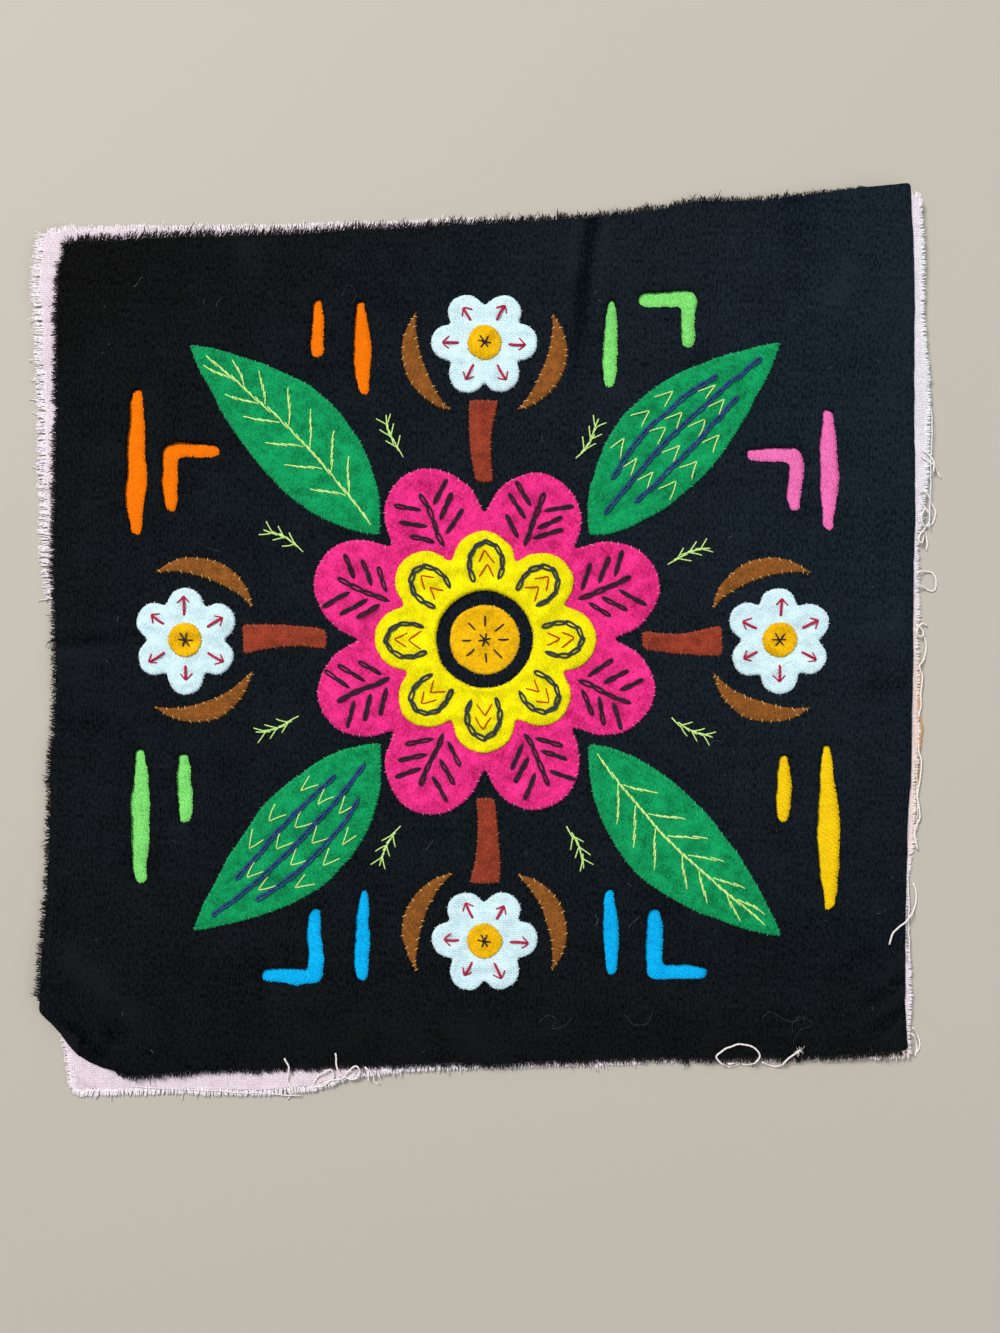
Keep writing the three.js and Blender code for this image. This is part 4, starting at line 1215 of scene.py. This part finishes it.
def sideOf(out):
    # the side of the cloth, and the way its yarns run out
    if abs(out[0]) > abs(out[1]):
        return "right" if out[0] > 0 else "left", np.array([np.sign(out[0]), 0])
    return "top" if out[1] > 0 else "bottom", np.array([0, np.sign(out[1])])


def leaning(way, place, look, side):
    # neighbours lean the same way
    lean = look["slant"] * waves(*place, 4, 9) + dice.normal(0, look["spread"]) + look["lean"].get(side, 0)
    way = way + leftOf(way) * lean
    return way / np.linalg.norm(way)


def fibreLength(look, side):
    # a few are longer
    chance, most = look["long"]
    return dice.uniform(*look["lengths"][side]) * (dice.uniform(1.3, most) if dice.random() < chance else 1)


frontFrayLook = {
    "pitch": 0.125, "radius": 0.13, "long": (0.05, 1.8), "slant": 0.5, "spread": 0.24, "lean": {"top": -0.3},
    "lengths": {"top": (1.2, 2.4), "left": (0.8, 1.6), "bottom": (0.7, 1.45)}, "overlap": 0.5, "sunk": 0.14,
    "square": 0.7, "tuft": 0.6, "tuftSize": 1.4,
    # how the length changes along each side
    "along": {"top": ((-60, 40, 88, 103), (1, 0.75, 0.5, 0.15)), "left": ((-120, 0), (1, 1)),
              "bottom": ((-40, 30, 65), (1, 1, 1.1))},
}
frontFibres = []
for place, out in outlineWalk(frontOuter, frontFrayLook["pitch"]):
    if edgeKind(*place) != "raw" or (place[0] > hemmedFrom and place[1] > 0):
        continue
    look = frontFrayLook
    side, square = sideOf(out)
    out = look["square"] * square + (1 - look["square"]) * out
    tuft = 1 + look["tuft"] * waves(*place, look["tuftSize"], 4)
    tuft *= np.interp(place[0], *look["along"][side]) * smoothStep(pastFold(*place), 0.8, 2.6)
    length = tuft * fibreLength(look, side) + look["overlap"]
    way = leaning(out, place, look, side)
    start = place - out * look["overlap"]
    z = heightOn(frontTree, *start) - look["sunk"]
    frontFibres.append(fibre(start, way, length, dice.normal(0, 0.25), z, z + dice.normal(-0.1, 0.16),
                             look["radius"] * dice.uniform(0.7, 1.2)))
frontFray = tubes("front_fray", frontFibres, "black_yarn", "black_cotton", 3)

backingFrayLook = {
    "pitch": 0.27, "radius": 0.21, "long": (0.03, 1.9), "slant": 0.3, "spread": 0.1, "lean": {},
    "lengths": {"top": (0.9, 1.3), "left": (2.2, 2.9), "right": (0.6, 1.0), "bottom": (1.3, 1.8)},
    "overlap": {"top": 1.2, "left": 1.9, "right": 1.3, "bottom": 0.9},
    "sunk": 0.26, "least": 0.24, "tipLeast": 0.3,
    # how the length changes up the left side
    "leftAt": (-105, -100, 5, 12, 28, 36), "leftTimes": (0.3, 0.6, 0.6, 1.3, 1.2, 1.0),
}
backingFibres = []
for place, out in outlineWalk(backingOutline, backingFrayLook["pitch"]):
    look = backingFrayLook
    side, square = sideOf(out)
    length = fibreLength(look, side)
    if side == "left":
        length *= np.interp(place[1], look["leftAt"], look["leftTimes"])
    way = leaning(square, place, look, side)
    start = place - square * look["overlap"][side] * dice.uniform(0.5, 1.3)
    length += np.linalg.norm(place - start)
    z = max(look["least"], heightOn(backingTree, *start) - look["sunk"])
    tip = heightOn(backingTree, *(place - square * 0.2)) + dice.normal(0.02, 0.08)
    backingFibres.append(fibre(start, way, length, dice.normal(0, 0.14), z, max(look["tipLeast"], tip),
                               look["radius"] * dice.uniform(0.85, 1.1)))
# a few yarns that have come away and run beside the backing's edge: from, to and radius
edgeYarns = [
    ((-96, -121.4), (-50, -123.6), 0.17), ((117.3, -8), (117.6, -52), 0.15),
    ((121.2, 62), (120.6, 30), 0.15), ((115.0, -62), (115.3, -88), 0.2),
]
for start, end, radius in edgeYarns:
    line = evenPoints([start, end], 1.2) + centre
    line = line + dice.normal(0, 0.09, line.shape)
    heights = [max(0.4, heightOn(backingTree, x, y) + 0.3) for x, y in line]
    backingFibres.append({"points": np.column_stack([line, heights]), "radius": radius})
backingFray = tubes("backing_fray", backingFibres, "pale_pink_yarn", "pale_pink_cotton", 5)
print("fray:", len(frontFibres) + len(backingFibres), "fibres")

# loose threads on the edges and fine hairs on the black, as they lie
looseThreads = [
    [(69.4, -115.4), (66.2, -116), (62.6, -113), (65.4, -110.4), (69.5, -109.3), (73.3, -110.5),
     (74.5, -112.8), (72, -115.4), (68.5, -115), (66, -114.6)],
    [(75.3, -114.3), (77.4, -115.6), (79.7, -115.8), (82.6, -113), (85.2, -111)],
    [(-54, -113.2), (-53, -116), (-53.4, -119.6), (-52, -122.6), (-53.6, -125)],
    [(-46.4, -120.4), (-44.4, -117.6), (-41.6, -116.4), (-41, -118.6), (-43.6, -120.8), (-46.2, -121.2)],
    [(-44.6, -120.6), (-41.4, -119.4), (-38.4, -118.8), (-36.6, -116.4), (-34.6, -115.2), (-33.8, -117.4),
     (-35.6, -119.2), (-38.6, -118.2), (-39.8, -115.6), (-40.2, -111.8)],
    [(-32.4, -115.6), (-30.2, -117.6), (-30, -119.8), (-28.6, -121)],
    [(118.6, 49.2), (120.2, 48.4), (122.4, 47), (124.1, 44.2)],
    [(119, 51), (120.8, 49.9), (121.8, 48.2), (121.6, 45.4)],
    [(117.6, 40.4), (119.4, 39.8), (121.8, 37), (122.6, 34.2), (121.6, 31.6), (119.4, 31), (118, 33.2),
     (119.6, 35.8)],
    [(118, 37.4), (120, 35), (121, 32.4), (119.2, 30), (117.4, 27.6), (118.6, 26.4), (119.8, 29.4),
     (120.4, 26.8), (120.2, 24.4)],
    [(116.8, 18.2), (118.9, 18.7), (121.6, 18.4), (122.9, 16), (121.9, 13.4), (118.4, 14.5), (116.6, 15.2)],
    [(116.8, 4.2), (118.6, 3.2), (119.2, 1.4), (117.8, 0.8), (117, 2.4), (118.8, 4.6), (120.2, 3.8)],
    [(116.4, -66), (117.6, -69.4), (116.4, -73.4), (113.6, -76.6), (110.6, -79), (109.4, -82.2)],
    [(119.2, 2.2), (120.2, -1.4), (119.4, -5.2), (117.8, -7), (118.9, -9.8), (118.6, -15), (118, -21)],
    [(117.6, -28.3), (118.7, -34.8), (117.6, -42), (118.3, -47.8), (116.9, -52), (117.6, -57)],
    [(115.2, -106.4), (116.9, -108.2), (117.7, -110.8), (117, -113.4)],
    [(115.8, -104.8), (117.8, -107.4), (118.5, -110.2), (117.7, -112.4)],
]
orangeThread = [(118.2, -5.5), (118.8, -12), (118, -18), (118.9, -24), (118.2, -30.5),
                (118.7, -35), (117.8, -39.5)]
fineHairs = [
    [(74.9, -102.1), (76.8, -100.3), (79.6, -101.6), (82.6, -102.9), (86.8, -102.2), (88.5, -103.8),
     (85.4, -105.2), (83.9, -107.6), (83.6, -109.6)],
    [(83, -106.4), (83.4, -103), (85.6, -101.6), (86.6, -103.4)],
    [(14.5, -103.6), (17, -101.2), (19.4, -102.6), (18.2, -105), (21.4, -104.4), (23.4, -102.2)],
    [(37.6, -100.8), (40.2, -103.8), (43.8, -103.6), (45.2, -100.6)],
    [(-38.6, 92.4), (-36.8, 95.6), (-34.4, 93.2), (-35.8, 90.4)],
    [(98, 22.4), (101.6, 23.6), (104.8, 22.2), (106, 19.6)],
]
looseLook = {
    "pitch": 0.7, "wiggle": 0.3, "wiggleSize": 2.6, "lift": 0.08, "laps": 6, "ends": 14, "endRadius": 0.06,
    # radius, and how far round itself each kind feels for the cloth under it
    "strand": (0.24, 1.7), "orange": (0.2, 0.9), "hair": (0.055, 0.3), "lint": (0.03, 0.3),
}


def restHeight(x, y, around):
    # the highest cloth near a place, or the floor
    ring = [petalPoint(np.array([x, y]), degrees, around) for degrees in range(0, 360, 60)]
    hits = [dropOn(tree, *spot) for spot in [(x, y)] + ring for tree in [*clothTrees.values(), backingTree]]
    return max([hit.z for hit in hits if hit is not None], default=0)


def laidThread(line, radius, around):
    # a loose thread that lies on whatever is under it and spans small gaps
    points = evenPoints(line, looseLook["pitch"]) + centre
    places = [Vector((*(point / looseLook["wiggleSize"]), 3)) for point in points]
    wiggle = np.array([noise.noise_vector(place)[:2] for place in places]) * looseLook["wiggle"]
    heights = np.array([restHeight(x, y, around) + radius + looseLook["lift"] for x, y in points])
    for lap in range(looseLook["laps"]):
        wide = np.concatenate([heights[:1], heights, heights[-1:]])
        heights = np.maximum(heights, (wide[:-2] + wide[1:-1] + wide[2:]) / 3)
    return {"points": np.column_stack([points + wiggle, heights]), "radius": radius}


strands = [laidThread(line, *looseLook["strand"]) for line in looseThreads]
frayedEnd = strands[1]["points"][-1]        # the second thread's end has come apart
for k in range(looseLook["ends"]):
    way = dice.normal(0, 1, 2)
    way = way / np.linalg.norm(way)
    strands.append(fibre(frayedEnd[:2], way, dice.uniform(0.8, 1.7), dice.normal(0, 0.4), frayedEnd[2],
                         frayedEnd[2] + dice.uniform(0, 0.3), looseLook["endRadius"]))
orange = [laidThread(orangeThread, *looseLook["orange"])]
hairs = [laidThread(line, *looseLook["hair"]) for line in fineHairs]
looseStrands = tubes("loose_threads", strands, "loose_yarn", "pale_pink_cotton", 6)
looseOrange = tubes("loose_orange_thread", orange, "orange_yarn", "orange_cotton", 6)
looseHairs = tubes("loose_hairs", hairs, "grey_hair", "black_cotton", 3)

lintLook = {"count": 95, "within": 112, "length": (0.25, 1.3), "radius": 0.035,
            "longs": 12, "longWithin": 106, "longLength": (2.5, 6.0)}
specks = []
for k in range(lintLook["count"]):
    place = dice.uniform(-lintLook["within"], lintLook["within"], 2)
    angle = dice.uniform(0, 2 * math.pi)
    way = np.array([math.cos(angle), math.sin(angle)])
    length = dice.uniform(*lintLook["length"])
    z = max(topAt(*(place + way * length * t)) for t in (0, 0.5, 1)) + 0.05
    specks.append(fibre(place, way, length, dice.normal(0, 0.5), z, z + 0.04, lintLook["radius"]))
for k in range(lintLook["longs"]):
    start = dice.uniform(-lintLook["longWithin"], lintLook["longWithin"], 2)
    angle = dice.uniform(0, 2 * math.pi)
    step = dice.uniform(*lintLook["longLength"]) / 5
    right = np.cos(angle + dice.normal(0, 0.5, 5).cumsum())
    up = np.sin(angle + dice.normal(0, 0.5, 5).cumsum())
    line = np.concatenate([[(0, 0)], step * np.stack([right, up], 1).cumsum(0)]) + start - centre
    specks.append(laidThread(line, *looseLook["lint"]))
lint = tubes("lint", specks, "lint", "black_cotton", 3)
print("loose threads:", len(strands), "lint:", len(specks))


# what each cloth is: its cut size, what it lies on and what goes with it

soft[backing] = {"flat": flatSize(backingOutline), "on": "floor",
                 "with": [backingFray, looseStrands, looseOrange]}
soft[front] = {"flat": flatSize(frontOuter), "on": "backing_cloth",
               "with": [frontFray, looseHairs, lint, *sewing, *embroidered]}
leastSide = 10.2        # a sheet's side is at least this, mm
for piece, facts in soft.items():
    size, area = facts["flat"]
    width, length = (max(leastSide, side) * mm for side in size)
    min(area * mm * mm, width * length)
    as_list(facts.get("with", []))


# floor, light and camera

floorMesh = bmesh.new()
bmesh.ops.create_grid(floorMesh, x_segments=1, y_segments=1, size=2.0)
floorData = bpy.data.meshes.new("floor")
floorMesh.to_mesh(floorData)
floorMesh.free()
floorLook = {"Roughness": 0.75, "Base Color": (0.47, 0.43, 0.37, 1)}
floorData.materials.append(newFinish("floor_plain", floorLook)[0])
placed("floor", floorData)

lights = {
    "window": {"place": (-1.0, 1.15, 1.75), "size": 0.75, "watts": 54.0, "colour": (1.0, 0.985, 0.96)},
    "room": {"place": (1.4, -0.3, 1.2), "size": 1.4, "watts": 12.0, "colour": (0.88, 0.94, 1.0)},
}
for name, look in lights.items():
    lamp = bpy.data.lights.new(name, "AREA")
    lamp.energy = look["watts"]
    lamp.size = look["size"]
    lamp.color = look["colour"]
    holder = placed(name, lamp)
    holder.location = look["place"]
    holder.rotation_euler = (-Vector(look["place"])).to_track_quat("-Z", "Y").to_euler()
sky = bpy.data.worlds.new("soft_room")
sky.use_nodes = True
air = sky.node_tree.nodes["Background"]
air.inputs["Color"].default_value = (0.93, 0.96, 1.0, 1)
air.inputs["Strength"].default_value = 0.3
bpy.context.scene.world = sky
bpy.context.scene.view_settings.view_transform = "Standard"

# straight above, the picture's middle a little below and right of the flower
cameraLook = {"lens": 35, "sensor": 36, "aside": (4.2, -7.2), "viewTall": 360.0, "clothHigh": 3}
camera = bpy.data.cameras.new("camera")
camera.lens = cameraLook["lens"]
camera.sensor_width = cameraLook["sensor"]
camera.clip_start = 0.01
away = cameraLook["viewTall"] * cameraLook["lens"] / cameraLook["sensor"]
cameraHolder = placed("camera", camera)
aim = centre + np.array(cameraLook["aside"])
cameraHolder.location = Vector((*aim, away + cameraLook["clothHigh"])) * mm
bpy.context.scene.camera = cameraHolder
